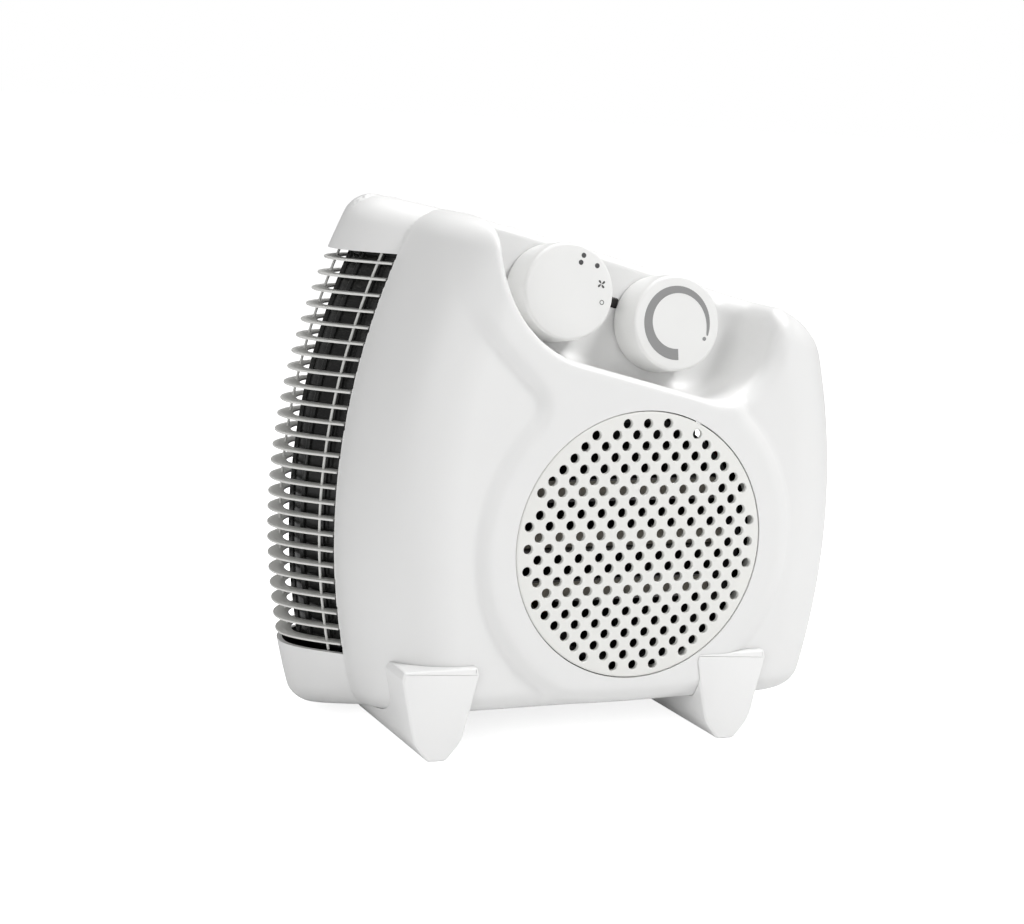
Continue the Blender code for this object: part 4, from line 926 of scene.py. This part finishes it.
def bowedSheetTree():
    # a thin upright sheet that follows the path and the bow
    tree, given, result = geometryTree("bowedSheet", bowInputs)
    top = addMath(tree, "MULTIPLY", given["Step"], addMath(tree, "SUBTRACT", given["Count"], 1.0))
    upright = addNode(tree, "GeometryNodeCurvePrimitiveLine", {
        "Start": vectorAlong(tree, "Z", given["Low"]),
        "End": vectorAlong(tree, "Z", addMath(tree, "ADD", given["Low"], top))}).outputs[0]
    fine = addNode(tree, "GeometryNodeResampleCurve", {
        "Curve": upright, "Count": given["Count"]}).outputs[0]
    path = addNode(tree, "GeometryNodeMeshToCurve", {"Mesh": given["Geometry"]}).outputs[0]
    level = addNode(tree, "GeometryNodeSetCurveNormal", {"Curve": path}, mode="Z_UP").outputs[0]
    stood = addNode(tree, "GeometryNodeTransform", {
        "Geometry": fine, "Rotation": (math.pi / 2, 0, 0)}).outputs[0]
    sheet = addNode(tree, "GeometryNodeCurveToMesh", {"Curve": level, "Profile Curve": stood}).outputs[0]
    bowed = bowShift(tree, given, sheet)
    thick = addNode(tree, "GeometryNodeExtrudeMesh", {
        "Mesh": bowed, "Individual": False, "Offset Scale": given["Depth"]}, mode="FACES")
    turned = addNode(tree, "GeometryNodeFlipFaces", {"Mesh": bowed}).outputs[0]
    joined = tree.nodes.new("GeometryNodeJoinGeometry")
    for part in (thick.outputs["Mesh"], turned):
        tree.links.new(part, joined.inputs[0])
    closed = addNode(tree, "GeometryNodeMergeByDistance", {
        "Geometry": joined.outputs[0], "Distance": 1e-6})
    endTree(tree, result, closed.outputs[0], given["Material"])
    return tree


bowedFins = bowedFinsTree()
bowedSheet = bowedSheetTree()
bowedBars = bowedBarsTree()


def halfWidthAt(depth):
    face, seam, rear = form["faceHalf"], form["seamHalf"], form["rearHalf"]
    if depth <= form["flareDepth"]:
        share = (depth - form["seamDepth"]) / (form["flareDepth"] - form["seamDepth"])
        return seam + (rear - seam) * math.sin(share * math.pi / 2)
    return rear


def wrapPath(side, inset):
    # (point, follow) pairs along a louvre's face, seen from above, at the widest height
    fit = louvreSize["fit"]
    start = form["seamDepth"] + 2 * fit
    spots = []
    for i in range(11):
        depth = start + (form["flareDepth"] - start) * i / 10
        spots.append((halfWidthAt(depth) - inset, depth, 1.0))
    corner = form["backDepth"] - form["flareDepth"]
    radius = corner - fit - inset
    middle = form["rearHalf"] - corner
    for i in range(1, 15):
        turn = math.pi / 2 * i / 14
        x = middle + (radius + fit * math.cos(turn)) * math.cos(turn)
        spots.append((x, form["flareDepth"] + radius * math.sin(turn), 1.0))
    last, depth = spots[-1][0], spots[-1][1]
    for i in range(1, 7):
        x = last + (louvreSize["backX"] + fit - last) * i / 6
        spots.append((x, depth, 1.0 - i / 6))
    return [(Vector((side * x, atDepth(depth), 0)), follow) for x, depth, follow in spots]


def followMesh(name, spots, joined=True):
    mesh = bpy.data.meshes.new(name)
    edges = [(i, i + 1) for i in range(len(spots) - 1)] if joined else []
    mesh.from_pydata([tuple(point) for point, _ in spots], edges, [])
    values = mesh.attributes.new("follow", "FLOAT", "POINT")
    for i, (_, follow) in enumerate(spots):
        values.data[i].value = follow
    return mesh


def alongPath(spots, share):
    lengths = [(b[0] - a[0]).length for a, b in zip(spots, spots[1:])]
    left = share * sum(lengths)
    for (a, followA), (b, followB), length in zip(spots, spots[1:], lengths):
        if left <= length:
            part = left / length
            return a.lerp(b, part), followA + (followB - followA) * part
        left -= length
    return spots[-1]


def makeLouvre(name, side):
    size = louvreSize
    low, high = size["openLow"] + size["fit"], louvreTops[side]
    count = int((high - low - size["thickness"]) / size["pitch"])
    spare = (high - low - (count - 1) * size["pitch"]) / 2
    bow = {"Side": float(side), "Widest Height": form["widestHeight"], "Bow Radius": form["sideRadius"]}
    fins = growMesh(f"{name}_fins", followMesh("finPath", wrapPath(side, 0.0)), bowedFins, dict(
        bow, Count=count, Low=low + spare, Step=size["pitch"], Thickness=size["thickness"],
        Depth=size["depth"], Material=whiteFin))
    levels, gaps = size["levels"], size["levels"] - 1
    inner = wrapPath(side, size["depth"] * 0.72)
    feet = followMesh("ribFeet", [alongPath(inner, share) for share in size["ribPlaces"]], False)
    ribs = growMesh(f"{name}_ribs", feet, bowedBars, dict(
        bow, Count=levels, Low=low, Step=(high - low) / gaps, Thickness=size["ribRadius"],
        Material=whiteFin))
    for piece in (fins, ribs):
        standFor(piece, "housing", "white_shell", f"{name}_louvre")
    makeGuard(name, side, bow, low + size["guardClear"], high - size["guardClear"])


def makeGuard(name, side, bow, low, high):
    # the dark grid and screen behind the louvre's fins
    size = louvreSize
    levels, step = size["levels"], (high - low) / (size["levels"] - 1)
    first, last = size["guardSpan"]
    gaps = size["guardCount"] - 1
    shares = [first + (last - first) * i / gaps for i in range(gaps + 1)]
    inner = wrapPath(side, size["guardInset"])
    feet = followMesh("guardFeet", [alongPath(inner, share) for share in shares], False)
    bars = growMesh(f"{name}_guard_bars", feet, bowedBars, dict(
        bow, Count=levels, Low=low, Step=step, Thickness=size["guardRadius"], Material=glossBlack))
    rails = growMesh(f"{name}_guard_rails", followMesh("railPath", inner), bowedFins, dict(
        bow, Count=2, Low=low, Step=high - low, Thickness=size["railHeight"],
        Depth=size["railDepth"], Material=glossBlack))
    path = followMesh("screenPath", wrapPath(side, size["screenInset"]))
    screen = growMesh(f"{name}_guard_screen", path, bowedSheet, dict(
        bow, Count=levels, Low=low, Step=step, Depth=size["screenThickness"], Material=screenBlack))
    for piece in (bars, rails, screen):
        standFor(piece, "housing", "black_plastic", f"{name}_air_guard")


makeLouvre("left", -1)
makeLouvre("right", 1)
print("louvres built")


def perforationTree():
    # round holes on a square pattern that stands on its corner, each with a small chamfer in front
    tree, given, result = geometryTree("perforation", [
        ("Reach", "NodeSocketInt", 12), ("Step", "NodeSocketFloat", 0.005),
        ("Hole Radius", "NodeSocketFloat", 0.002), ("Chamfer", "NodeSocketFloat", 0.0004),
        ("Clear", "NodeSocketFloat", 0.9), ("Radius", "NodeSocketFloat", 0.058),
        ("Middle", "NodeSocketVector", None), ("Material", "NodeSocketMaterial", None)])
    rows = addMath(tree, "MULTIPLY_ADD", given["Reach"], 2.0, 1.0)
    span = addMath(tree, "MULTIPLY", addMath(tree, "MULTIPLY", given["Reach"], 2.0), given["Step"])
    grid = addNode(tree, "GeometryNodeMeshGrid", {
        "Size X": span, "Size Y": span, "Vertices X": rows, "Vertices Y": rows}).outputs[0]
    spot = pointPlace(tree)
    column = addMath(tree, "DIVIDE", spot.outputs["X"], given["Step"])
    row = addMath(tree, "DIVIDE", spot.outputs["Y"], given["Step"])
    total = addMath(tree, "ROUND", addMath(tree, "ADD", column, row))
    odd = addMath(tree, "GREATER_THAN", addMath(tree, "FLOORED_MODULO", total, 2.0), 0.5)
    away = addMath(tree, "SQRT", addMath(tree, "ADD", addMath(tree, "MULTIPLY", column, column),
                                         addMath(tree, "MULTIPLY", row, row)))
    edge = addMath(tree, "DIVIDE", given["Radius"], given["Step"])
    limit = addMath(tree, "SUBTRACT", edge, given["Clear"])
    keep = addMath(tree, "MULTIPLY", odd, addMath(tree, "LESS_THAN", away, limit))
    chosen = addNode(tree, "GeometryNodeCaptureAttribute")
    chosen.capture_items.new("FLOAT", "Keep")
    tree.links.new(grid, chosen.inputs["Geometry"])
    tree.links.new(keep, chosen.inputs["Keep"])
    stood = addNode(tree, "GeometryNodeTransform", {
        "Geometry": chosen.outputs["Geometry"], "Rotation": (math.pi / 2, 0, 0),
        "Translation": given["Middle"]}).outputs[0]
    bore = addNode(tree, "GeometryNodeMeshCylinder", {
        "Vertices": 20, "Radius": given["Hole Radius"], "Depth": 0.012}).outputs["Mesh"]
    cone = addNode(tree, "GeometryNodeMeshCone", {
        "Vertices": 20, "Radius Top": given["Hole Radius"],
        "Depth": addMath(tree, "MULTIPLY", given["Chamfer"], 1.5),
        "Radius Bottom": addMath(tree, "MULTIPLY_ADD", given["Chamfer"], 1.5, given["Hole Radius"])})
    drop = addMath(tree, "MULTIPLY", given["Chamfer"], -0.5)
    placedCone = addNode(tree, "GeometryNodeTransform", {
        "Geometry": cone.outputs["Mesh"], "Translation": vectorAlong(tree, "Z", drop)}).outputs[0]
    plain = given["Geometry"]
    for cutter in (bore, placedCone):
        copies = addNode(tree, "GeometryNodeInstanceOnPoints", {
            "Points": stood, "Selection": chosen.outputs["Keep"], "Instance": cutter,
            "Rotation": (-math.pi / 2, 0, 0)}).outputs[0]
        solid = addNode(tree, "GeometryNodeRealizeInstances", {"Geometry": copies}).outputs[0]
        less = addNode(tree, "GeometryNodeMeshBoolean", operation="DIFFERENCE", solver="MANIFOLD")
        tree.links.new(plain, less.inputs[0])
        tree.links.new(solid, less.inputs[1])
        plain = less.outputs[0]
    endTree(tree, result, plain, given["Material"])
    return tree


def makePlate():
    radius, wall, skirt = plate["radius"], plate["wall"], plate["skirt"]
    profile = [(0, 0.00012), (radius * 0.75, 0.00006), (radius - 0.0009, 0.00001),
               (radius - 0.0004, 0.0001), (radius - 0.0001, 0.0004), (radius, 0.0008),
               (radius, skirt), (radius - wall, skirt),
               (radius - wall, plate["thickness"]), (0, plate["thickness"])]
    base = turnedAcross(profile, plate["x"], plate["z"], 160, "plateBlank")
    reach = int(plate["radius"] / plate["holeStep"])
    obj = growMesh("outlet_plate", base, perforationTree(), {
        "Reach": reach, "Step": plate["holeStep"], "Hole Radius": plate["holeRadius"],
        "Chamfer": plate["chamfer"], "Clear": plate["rimClear"], "Radius": radius,
        "Middle": (plate["x"], plate["faceY"], plate["z"]), "Material": whiteGrille}, 40)
    standFor(obj, "housing", "white_grille", "outlet_grille")
    return obj


outletPlate = makePlate()
print("plate:", len(outletPlate.data.polygons), "faces")

knob = {
    "radius": 0.021,
    "height": 0.020,
    "clear": 0.0008,
    "draft": 0.0004,
    "edge": 0.0016,
    "wall": 0.0018,
    "boss": 0.0062,
    "bore": 0.0033,
    "boreDepth": 0.012,
    "sides": 120,
    "markHeight": 0.00006,
    "markSunk": 0.00004,
}
markHeights = (knob["height"] - knob["markSunk"], knob["height"] + knob["markHeight"])


def makeKnob(side, name, body):
    r, h, clear, edge = knob["radius"], knob["height"], knob["clear"], knob["edge"]
    profile = [(0, h), (r * 0.6, h)]
    for i in range(7):
        turn = math.pi / 2 * i / 6
        profile.append((r - edge + edge * math.sin(turn), h - edge + edge * math.cos(turn)))
    foot = r + knob["draft"]
    under = h - 0.004
    profile += [(foot, clear + 0.0005), (foot - 0.0003, clear), (foot - knob["wall"], clear),
                (r - knob["wall"], under), (knob["boss"], under), (knob["boss"], clear + 0.001),
                (knob["bore"], clear + 0.001), (knob["bore"], knob["boreDepth"]), (0, knob["boreDepth"])]
    mesh = turnedMesh(name, profile, knob["sides"], panelPlace(side))
    piece = keepObject(name, mesh, whiteKnob, 30)
    standFor(piece, body, "white_knob", body.replace("_dial", "_knob"))


def markShapes(outlines, side):
    # thin printed shapes on a knob's face
    return [panelRings([outline, outline], markHeights, panelPlace(side)) for outline in outlines]


def polar(turn, share):
    turn = math.radians(turn)
    return Vector((math.cos(turn), math.sin(turn))) * share * knob["radius"] * 0.976


def dotAt(turn, share, radius):
    spot = polar(turn, share)
    return circlePoints(spot.x, spot.y, radius, 32)


def bladeOutline(middle, turn, length, width):
    # one blade of a small fan sign, wide at its tip
    outline = []
    along = Vector((math.cos(turn), math.sin(turn)))
    across = Vector((-along.y, along.x))
    for i in range(20):
        t = 2 * math.pi * i / 20
        out = 0.56 + 0.44 * math.cos(t)
        side = math.sin(t) * (0.35 + 0.65 * out) + 0.35 * out * out
        outline.append(middle + along * out * length + across * side * width)
    return outline


def ringBand(middle, outer, stroke, side):
    low, high = markHeights
    profile = [(outer, low), (outer, high), (outer - stroke, high), (outer - stroke, low)]
    shift = Matrix.Translation((middle.x, middle.y, 0))
    return turnedMesh("ringSign", profile, 36, panelPlace(side) @ shift)


def addMarks(name, mesh, material, body):
    piece = keepObject(name, mesh, material, 30)
    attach(piece, body)
    return piece


def makeModeMarks():
    dots = [dotAt(66, 0.66, 0.0011), dotAt(66, 0.82, 0.0011), dotAt(40, 0.84, 0.0011)]
    addMarks("mode_heat_dots", ringMesh("heatDots", markShapes(dots, "left")), markDark, "mode_dial")
    middle = polar(12, 0.757)
    blades = [bladeOutline(middle, math.pi / 2 * i + 0.5, 0.0020, 0.00062) for i in range(4)]
    addMarks("mode_fan_sign", ringMesh("fanSign", markShapes(blades, "left")), markDark, "mode_dial")
    ring = ringBand(polar(-16.7, 0.78), 0.00105, 0.0003, "left")
    addMarks("mode_off_ring", ring, markDark, "mode_dial")


def makeThermostatMarks():
    low, high = markHeights
    place = panelPlace("right")
    start, end, steps = -20.0, 272.0, 90
    rings = []
    for i in range(steps + 1):
        share = i / steps
        turn = start + (end - start) * share
        inner = 0.79 - (0.035 + 0.205 * share**0.55)
        corners = [(0.79, low), (0.79, high), (inner, high), (inner, low)]
        ring = []
        for reach, height in corners:
            spot = polar(turn, reach)
            ring.append(place @ Vector((spot.x, spot.y, height)))
        rings.append(ring)
    addMarks("thermostat_scale", ringMesh("scale", [rings]), markGrey, "thermostat_dial")
    dot = ringMesh("lowDot", markShapes([dotAt(-27, 0.735, 0.0009)], "right"))
    addMarks("thermostat_low_dot", dot, markGrey, "thermostat_dial")


makeKnob("left", "mode_knob_cap", "mode_dial")
makeKnob("right", "thermostat_knob_cap", "thermostat_dial")
makeModeMarks()
makeThermostatMarks()


def makeWindow():
    wall, proud, edge = form["wall"], windowSize["proud"], windowSize["edge"]
    heights = [-wall, proud - edge]
    outlines = [windowRing(0), windowRing(0)]
    for i in range(1, 5):
        turn = math.pi / 2 * i / 4
        outlines.append(windowRing(-edge * (1 - math.cos(turn))))
        heights.append(proud - edge + edge * math.sin(turn))
    rings = panelRings(outlines, heights, panelPlace(None))
    piece = keepObject("indicator_window", ringMesh("window", [rings]), windowBlack, 50)
    standFor(piece, "housing", "smoked_lens", "indicator_lens")


makeWindow()

foot = {
    "halfWidth": 0.0175,
    "halfFlat": 0.004,
    "top": 0.040,
    "front": -0.0005,
    "length": 0.085,
    "edge": 0.0012,
    "fit": 0.0003,
    "spots": {"left": -0.086, "right": 0.053},  # across, from the middle
    "wellTop": 0.004,
    "wellRadius": 0.0035,
    "cornerRound": 0.0065,
}


def footOutline(x, inset):
    # a shield: flat on top, narrowing to a small rounded flat underneath
    half, flat, top = foot["halfWidth"], foot["halfFlat"], foot["top"]
    bend = (flat + (half - flat) * 0.52, top * 0.20)
    corners = [Vector(p) for p in (
        (-flat, 0), (flat, 0), bend, (half, top * 0.92), (half - 0.001, top),
        (-half + 0.001, top), (-half, top * 0.92), (-bend[0], bend[1]))]
    radii = [0.003, 0.003, 0.020, 0.001, 0.001, 0.001, 0.001, 0.020]
    outline = roundedOutline(corners, radii, 5)
    middle = Vector((0, top * 0.5))
    moved = []
    for i, p in enumerate(outline):
        along = outline[(i + 1) % len(outline)] - outline[i - 1]
        inwards = Vector((-along.y, along.x)).normalized()
        if inwards.dot(middle - p) < 0:
            inwards = -inwards
        moved.append(p + inwards * inset + Vector((x, 0)))
    return moved


def grownField(x, y, z):
    # the casing grown by the feet's clearance, closed off above them
    return np.maximum(bodyField(x, y, z) - foot["fit"], z - foot["top"] - 0.006)


def makeFeet():
    high = (netHigh[0], netHigh[1], foot["top"] + 0.012)
    grown = netFromField("grownForm", grownField, netLow, high, form["step"] * 1.3)
    for side, x in foot["spots"].items():
        edge, start, end = foot["edge"], foot["front"], foot["front"] + foot["length"]
        turns = [math.pi / 2 * i / 4 for i in range(5)]
        sections = [(1 - math.sin(turn), start + edge * (1 - math.cos(turn))) for turn in turns]
        sections += [(1 - math.cos(turn), end - edge * (1 - math.sin(turn))) for turn in turns]
        rings = []
        for share, depth in sections:
            outline = footOutline(x, edge * share)
            rings.append([Vector((p.x, atDepth(depth), p.y)) for p in outline])
        # the feet take the paler painted-light copy of the shell's white
        piece = keepObject(f"{side}_skid", ringMesh("skid", [rings]), whiteFootPaintedLight, 30)
        changeShape(piece, keepObject("bodyAbove", grown.copy(), whiteFootPaintedLight), "DIFFERENCE")
        for place in ("front", "rear"):
            spot = boxMiddle(f"foot_screw_{side}_{place}")
            well = circlePoints(spot.x, spot.y, foot["wellRadius"], 40)
            rings = [[Vector((p.x, p.y, z)) for p in well] for z in (-0.01, foot["wellTop"])]
            changeShape(piece, keepObject("well", ringMesh("well", [rings]), whiteFootPaintedLight), "DIFFERENCE")
        softShade(piece, 32)
        standFor(piece, "housing", "white_shell", f"{side}_foot")


makeFeet()
print("knobs, window and feet built")

elementSize = {"plate": 0.0008, "pitch": 0.0017, "foil": 0.00018, "sideGap": 0.0002}


def foldedFinsTree():
    # a strip folded up and down along x, joined to the base mesh
    tree, given, result = geometryTree("foldedFins", [
        ("Count", "NodeSocketInt", 40), ("Pitch", "NodeSocketFloat", 0.0017),
        ("Half Height", "NodeSocketFloat", 0.006), ("Thickness", "NodeSocketFloat", 0.0002),
        ("Depth", "NodeSocketFloat", 0.015), ("Middle", "NodeSocketVector", None),
        ("Material", "NodeSocketMaterial", None)])
    count = addMath(tree, "SUBTRACT", given["Count"], 1.0)
    first = addMath(tree, "MULTIPLY", addMath(tree, "MULTIPLY", count, given["Pitch"]), -0.5)
    line = addNode(tree, "GeometryNodeMeshLine", {
        "Count": given["Count"], "Start Location": vectorAlong(tree, "X", first),
        "Offset": vectorAlong(tree, "X", given["Pitch"])}).outputs[0]
    index = tree.nodes.new("GeometryNodeInputIndex").outputs[0]
    odd = addMath(tree, "MODULO", index, 2.0)
    swing = addMath(tree, "SUBTRACT", addMath(tree, "MULTIPLY", odd, 2.0), 1.0)
    lift = vectorAlong(tree, "Z", addMath(tree, "MULTIPLY", swing, given["Half Height"]))
    folded = addNode(tree, "GeometryNodeSetPosition", {"Geometry": line, "Offset": lift}).outputs[0]
    curve = addNode(tree, "GeometryNodeMeshToCurve", {"Mesh": folded}).outputs[0]
    level = addNode(tree, "GeometryNodeSetCurveNormal", {"Curve": curve}, mode="Z_UP").outputs[0]
    outline = addNode(tree, "GeometryNodeCurvePrimitiveQuadrilateral", {
        "Width": given["Depth"], "Height": given["Thickness"]}).outputs[0]
    strip = addNode(tree, "GeometryNodeCurveToMesh", {
        "Curve": level, "Profile Curve": outline, "Fill Caps": True}).outputs[0]
    placed = addNode(tree, "GeometryNodeTransform", {
        "Geometry": strip, "Translation": given["Middle"]}).outputs[0]
    joined = tree.nodes.new("GeometryNodeJoinGeometry")
    for part in (given["Geometry"], placed):
        tree.links.new(part, joined.inputs[0])
    endTree(tree, result, joined.outputs[0], given["Material"])
    return tree


wheel = {
    "hub": 0.0125,
    "blades": 5,
    "stations": 9,
    "rootPitch": 42,
    "tipPitch": 26,
    "rootChord": 0.013,
    "chordGrowth": 0.010,
    "thickness": 0.0014,
    "camber": 0.0009,
}


def makeFanWheel():
    # blades that twist and grow outwards on a domed hub
    low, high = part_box("fan_blade")
    middle = Vector(joints["fan_spin"]["pos_m"])
    length, reach = high.y - low.y, (high.z - low.z) / 2
    size = wheel
    profile = [(0.0028, 0.0004), (size["hub"] * 0.6, 0.0004), (size["hub"] * 0.9, 0.0012),
               (size["hub"], 0.0030), (size["hub"], length - 0.0004), (0.0028, length - 0.0004)]
    place = Matrix.Translation((middle.x, low.y, middle.z)) @ Matrix.Rotation(-math.pi / 2, 4, "X")
    hub = keepObject("fan_wheel", turnedMesh("fanHub", profile, 64, place), ductBlack)
    centre = Vector((middle.x, low.y + length / 2, middle.z))
    for blade in range(size["blades"]):
        turn = Matrix.Rotation(2 * math.pi * blade / size["blades"], 4, "Y")
        rings = []
        for i in range(size["stations"]):
            share = i / (size["stations"] - 1)
            radius = size["hub"] * 0.7 + (reach * 0.995 - size["hub"] * 0.7) * share
            pitch = math.radians(size["rootPitch"] + (size["tipPitch"] - size["rootPitch"]) * share)
            chord = size["rootChord"] + size["chordGrowth"] * math.sin(share * math.pi * 0.72)
            taper = min(1.0, 3 * (1 - share) + 0.55)
            ring = []
            for j in range(16):
                angle = 2 * math.pi * j / 16
                along = math.cos(angle) * chord * 0.5 * taper
                thick = math.sin(angle) * size["thickness"] * 0.5
                camber = size["camber"] * (1 - (2 * along / chord) ** 2)
                depth = along * math.sin(pitch) + (thick + camber) * math.cos(pitch)
                side = along * math.cos(pitch) - (thick + camber) * math.sin(pitch)
                ring.append(turn @ Vector((radius, depth, side)) + centre)
            rings.append(ring)
        changeShape(hub, keepObject("blade", ringMesh("blade", [rings]), ductBlack), "UNION")
    softShade(hub, 40)
    standFor(hub, "fan_rotor", "black_plastic", "fan_blade")


makeFanWheel()


def makeElements():
    tree = foldedFinsTree()
    for name in sorted(n for n in frame["nodes"] if n.startswith("heater_element")):
        low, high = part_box(name)
        middle, thick = (low + high) / 2, elementSize["plate"]
        plates = []
        for start, end in ((low.z, low.z + thick), (high.z - thick, high.z)):
            outline = rectangle(low.x, high.x, start, end)
            plates.append([[Vector((p.x, y, p.y)) for p in outline] for y in (low.y, high.y)])
        count = int((high.x - low.x - 0.002) / elementSize["pitch"])
        # the folded fins take the dark painted-shade foil
        piece = growMesh(f"{name}_fins", ringMesh("plates", plates), tree, {
            "Count": count, "Pitch": elementSize["pitch"], "Half Height": (high.z - low.z) / 2 - thick,
            "Thickness": elementSize["foil"], "Depth": high.y - low.y - 0.001, "Middle": middle,
            "Material": foilAluminiumPaintedShade})
        piece.data.materials.clear()
        piece.data.materials.append(foilAluminiumPaintedShade)
        standFor(piece, "housing", "aluminium", name)


makeElements()

screwSize = {
    "headRadius": 0.0031,
    "headHeight": 0.0019,
    "shaftRadius": 0.00118,
    "threadRadius": 0.0014,
    "threadPitch": 0.0011,
    "slotWidth": 0.0008,
    "slotReach": 0.0017,
    "slotDepth": 0.0011,
}


def screwsTree():
    tree, given, result = geometryTree("screwsAtPoints", [
        ("Screw", "NodeSocketObject", None), ("Turn", "NodeSocketVector", None),
        ("Material", "NodeSocketMaterial", None)])
    screw = addNode(tree, "GeometryNodeObjectInfo", {"Object": given["Screw"]}).outputs["Geometry"]
    placed = addNode(tree, "GeometryNodeInstanceOnPoints", {
        "Points": given["Geometry"], "Instance": screw, "Rotation": given["Turn"]}).outputs[0]
    endTree(tree, result, placed, given["Material"])
    return tree


def screwMesh(length):
    # head up, its underside at the origin
    size = screwSize
    height, radius = size["headHeight"], size["headRadius"]
    profile = [(0, height), (radius * 0.55, height * 0.94), (radius * 0.86, height * 0.72),
               (radius, height * 0.35), (radius, 0.0), (size["shaftRadius"], 0.0)]
    turns = int((length - 0.003) / size["threadPitch"])
    for i in range(turns):
        top = -0.001 - i * size["threadPitch"]
        profile.append((size["shaftRadius"], top))
        profile.append((size["threadRadius"], top - size["threadPitch"] * 0.5))
    profile += [(size["shaftRadius"], -length + 0.002), (0, -length)]
    screw = keepObject("screw", turnedMesh("screw", profile, 28, Matrix()), zincSteel)
    narrow, reach = size["slotWidth"] / 2, size["slotReach"]
    for halfX, halfY in ((narrow, reach), (reach, narrow)):
        rings = []
        for z, share in ((height - size["slotDepth"], 0.55), (height + 0.001, 1.0)):
            outline = rectangle(-halfX * share, halfX * share, -halfY * share, halfY * share)
            rings.append([Vector((p.x, p.y, z)) for p in outline])
        changeShape(screw, keepObject("slot", ringMesh("slot", [rings]), zincSteel), "DIFFERENCE")
    return screw


def placeScrews(name, nodes, tree, faceBack):
    points = []
    for node in nodes:
        low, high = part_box(node)
        middle = (low + high) / 2
        size = high - low
        length = (size.y if faceBack else size.z) - screwSize["headHeight"]
        if faceBack:
            points.append((middle.x, high.y - screwSize["headHeight"], middle.z))
        else:
            points.append((middle.x, middle.y, low.z + screwSize["headHeight"]))
    screw = screwMesh(length)
    base = bpy.data.meshes.new(name)
    base.from_pydata(points, [], [])
    turn = (-math.pi / 2, 0, 0) if faceBack else (math.pi, 0, 0)
    piece = growMesh(name, base, tree, {"Screw": screw, "Turn": turn, "Material": zincSteel})
    bpy.data.objects.remove(screw)
    standFor(piece, "housing", "steel", *nodes)


def makeScrews():
    tree = screwsTree()
    placeScrews("shell_screws", list(screwSpots), tree, True)
    placeScrews("bracket_screws", ["bracket_screw_left", "bracket_screw_right"], tree, True)
    for end in ("front", "rear"):
        nodes = [f"foot_screw_{side}_{end}" for side in ("left", "right")]
        placeScrews(f"foot_screws_{end}", nodes, tree, False)


makeScrews()
print("elements and screws built")


def dressNodes():
    looks = {
        "mode_switch": switchNylon, "thermostat": switchNylon, "terminal_block": switchNylon,
        "cord_clamp_base": switchNylon, "cord_clamp_bar": switchNylon, "indicator_lamp": lampGlass,
        "heater_duct": ductBlack, "fan_shroud": ductBlack, "fan_blade": ductBlack,
        "cord_gland": ductBlack,
        "thermal_cutout": ductBlack, "thermal_fuse": zincSteel, "motor_bracket": zincSteel,
        "motor_shaft": zincSteel, "fan_clip": zincSteel, "motor_stator": lamination,
        "motor_coil": winding, "front_bearing": bronze, "rear_bearing": bronze, "motor_rotor": aluminium,
        "wire_supply": redSleeve, "wire_link": redSleeve,
        "wire_heater": blueSleeve, "wire_motor": blueSleeve,
    }
    for name, node in frame["nodes"].items():
        if name.startswith("ceramic_strip"):
            look = heaterCeramic
        elif name.startswith("heater_element"):
            look = aluminium
        elif "screw" in name or name.endswith("spindle"):
            look = zincSteel
        else:
            look = looks.get(name, whiteShell)
        node.data.materials.clear()
        node.data.materials.append(look)


dressNodes()

studio = {
    "cameraAt": (-0.410, -0.835, 0.272),
    "forward": (0.404, 0.899, -0.166),
    "right": (0.914, -0.401, 0.054),
    "lens": 73.4,
    "ambient": 0.30,
    "floorHalf": 60.0,
    "lights": {  # place, aim, size and power
        "keyLight": ((0.75, -0.60, 1.25), (0, 0, 0.12), 0.40, 13.8),
        "topLight": ((0.05, 0.35, 1.5), (0, 0, 0.1), 1.0, 10.5),
        "fillLight": ((-1.3, -1.2, 0.55), (0, 0, 0.1), 1.2, 8.6),
    },
}


def addFloor():
    size = studio["floorHalf"]
    mesh = bpy.data.meshes.new("floor")
    corners = [(-size, -size, 0), (size, -size, 0), (size, size, 0), (-size, size, 0)]
    mesh.from_pydata(corners, [], [(0, 1, 2, 3)])
    floor = keepObject("floor", mesh, floorMaterial())


def addArea(name, place, aim, size, power):
    light = bpy.data.lights.new(name, "AREA")
    light.shape = "DISK"
    light.size = size
    light.energy = power
    obj = bpy.data.objects.new(name, light)
    bpy.context.scene.collection.objects.link(obj)
    obj.location = place
    obj.rotation_euler = (Vector(aim) - Vector(place)).to_track_quat("-Z", "Y").to_euler()


def addCamera():
    data = bpy.data.cameras.new("camera")
    data.lens = studio["lens"]
    camera = bpy.data.objects.new("camera", data)
    bpy.context.scene.collection.objects.link(camera)
    forward = Vector(studio["forward"]).normalized()
    right = Vector(studio["right"])
    right = (right - forward * right.dot(forward)).normalized()
    up = right.cross(forward)
    turn = Matrix((right, up, -forward)).transposed()
    camera.matrix_world = Matrix.Translation(studio["cameraAt"]) @ turn.to_4x4()
    bpy.context.scene.camera = camera


def addWorld():
    world = bpy.data.worlds.new("studio")
    bpy.context.scene.world = world
    world.use_nodes = True
    tree = world.node_tree
    back = tree.nodes["Background"]
    path = tree.nodes.new("ShaderNodeLightPath")
    strength = addNode(tree, "ShaderNodeMapRange", {
        "Value": path.outputs["Is Camera Ray"], "To Min": studio["ambient"], "To Max": 1.0})
    back.inputs["Color"].default_value = (1, 1, 1, 1)
    tree.links.new(strength.outputs["Result"], back.inputs["Strength"])


addFloor()
addCamera()
addWorld()
for name, values in studio["lights"].items():
    addArea(name, *values)
bpy.context.scene.view_settings.view_transform = "Standard"

print("studio set")
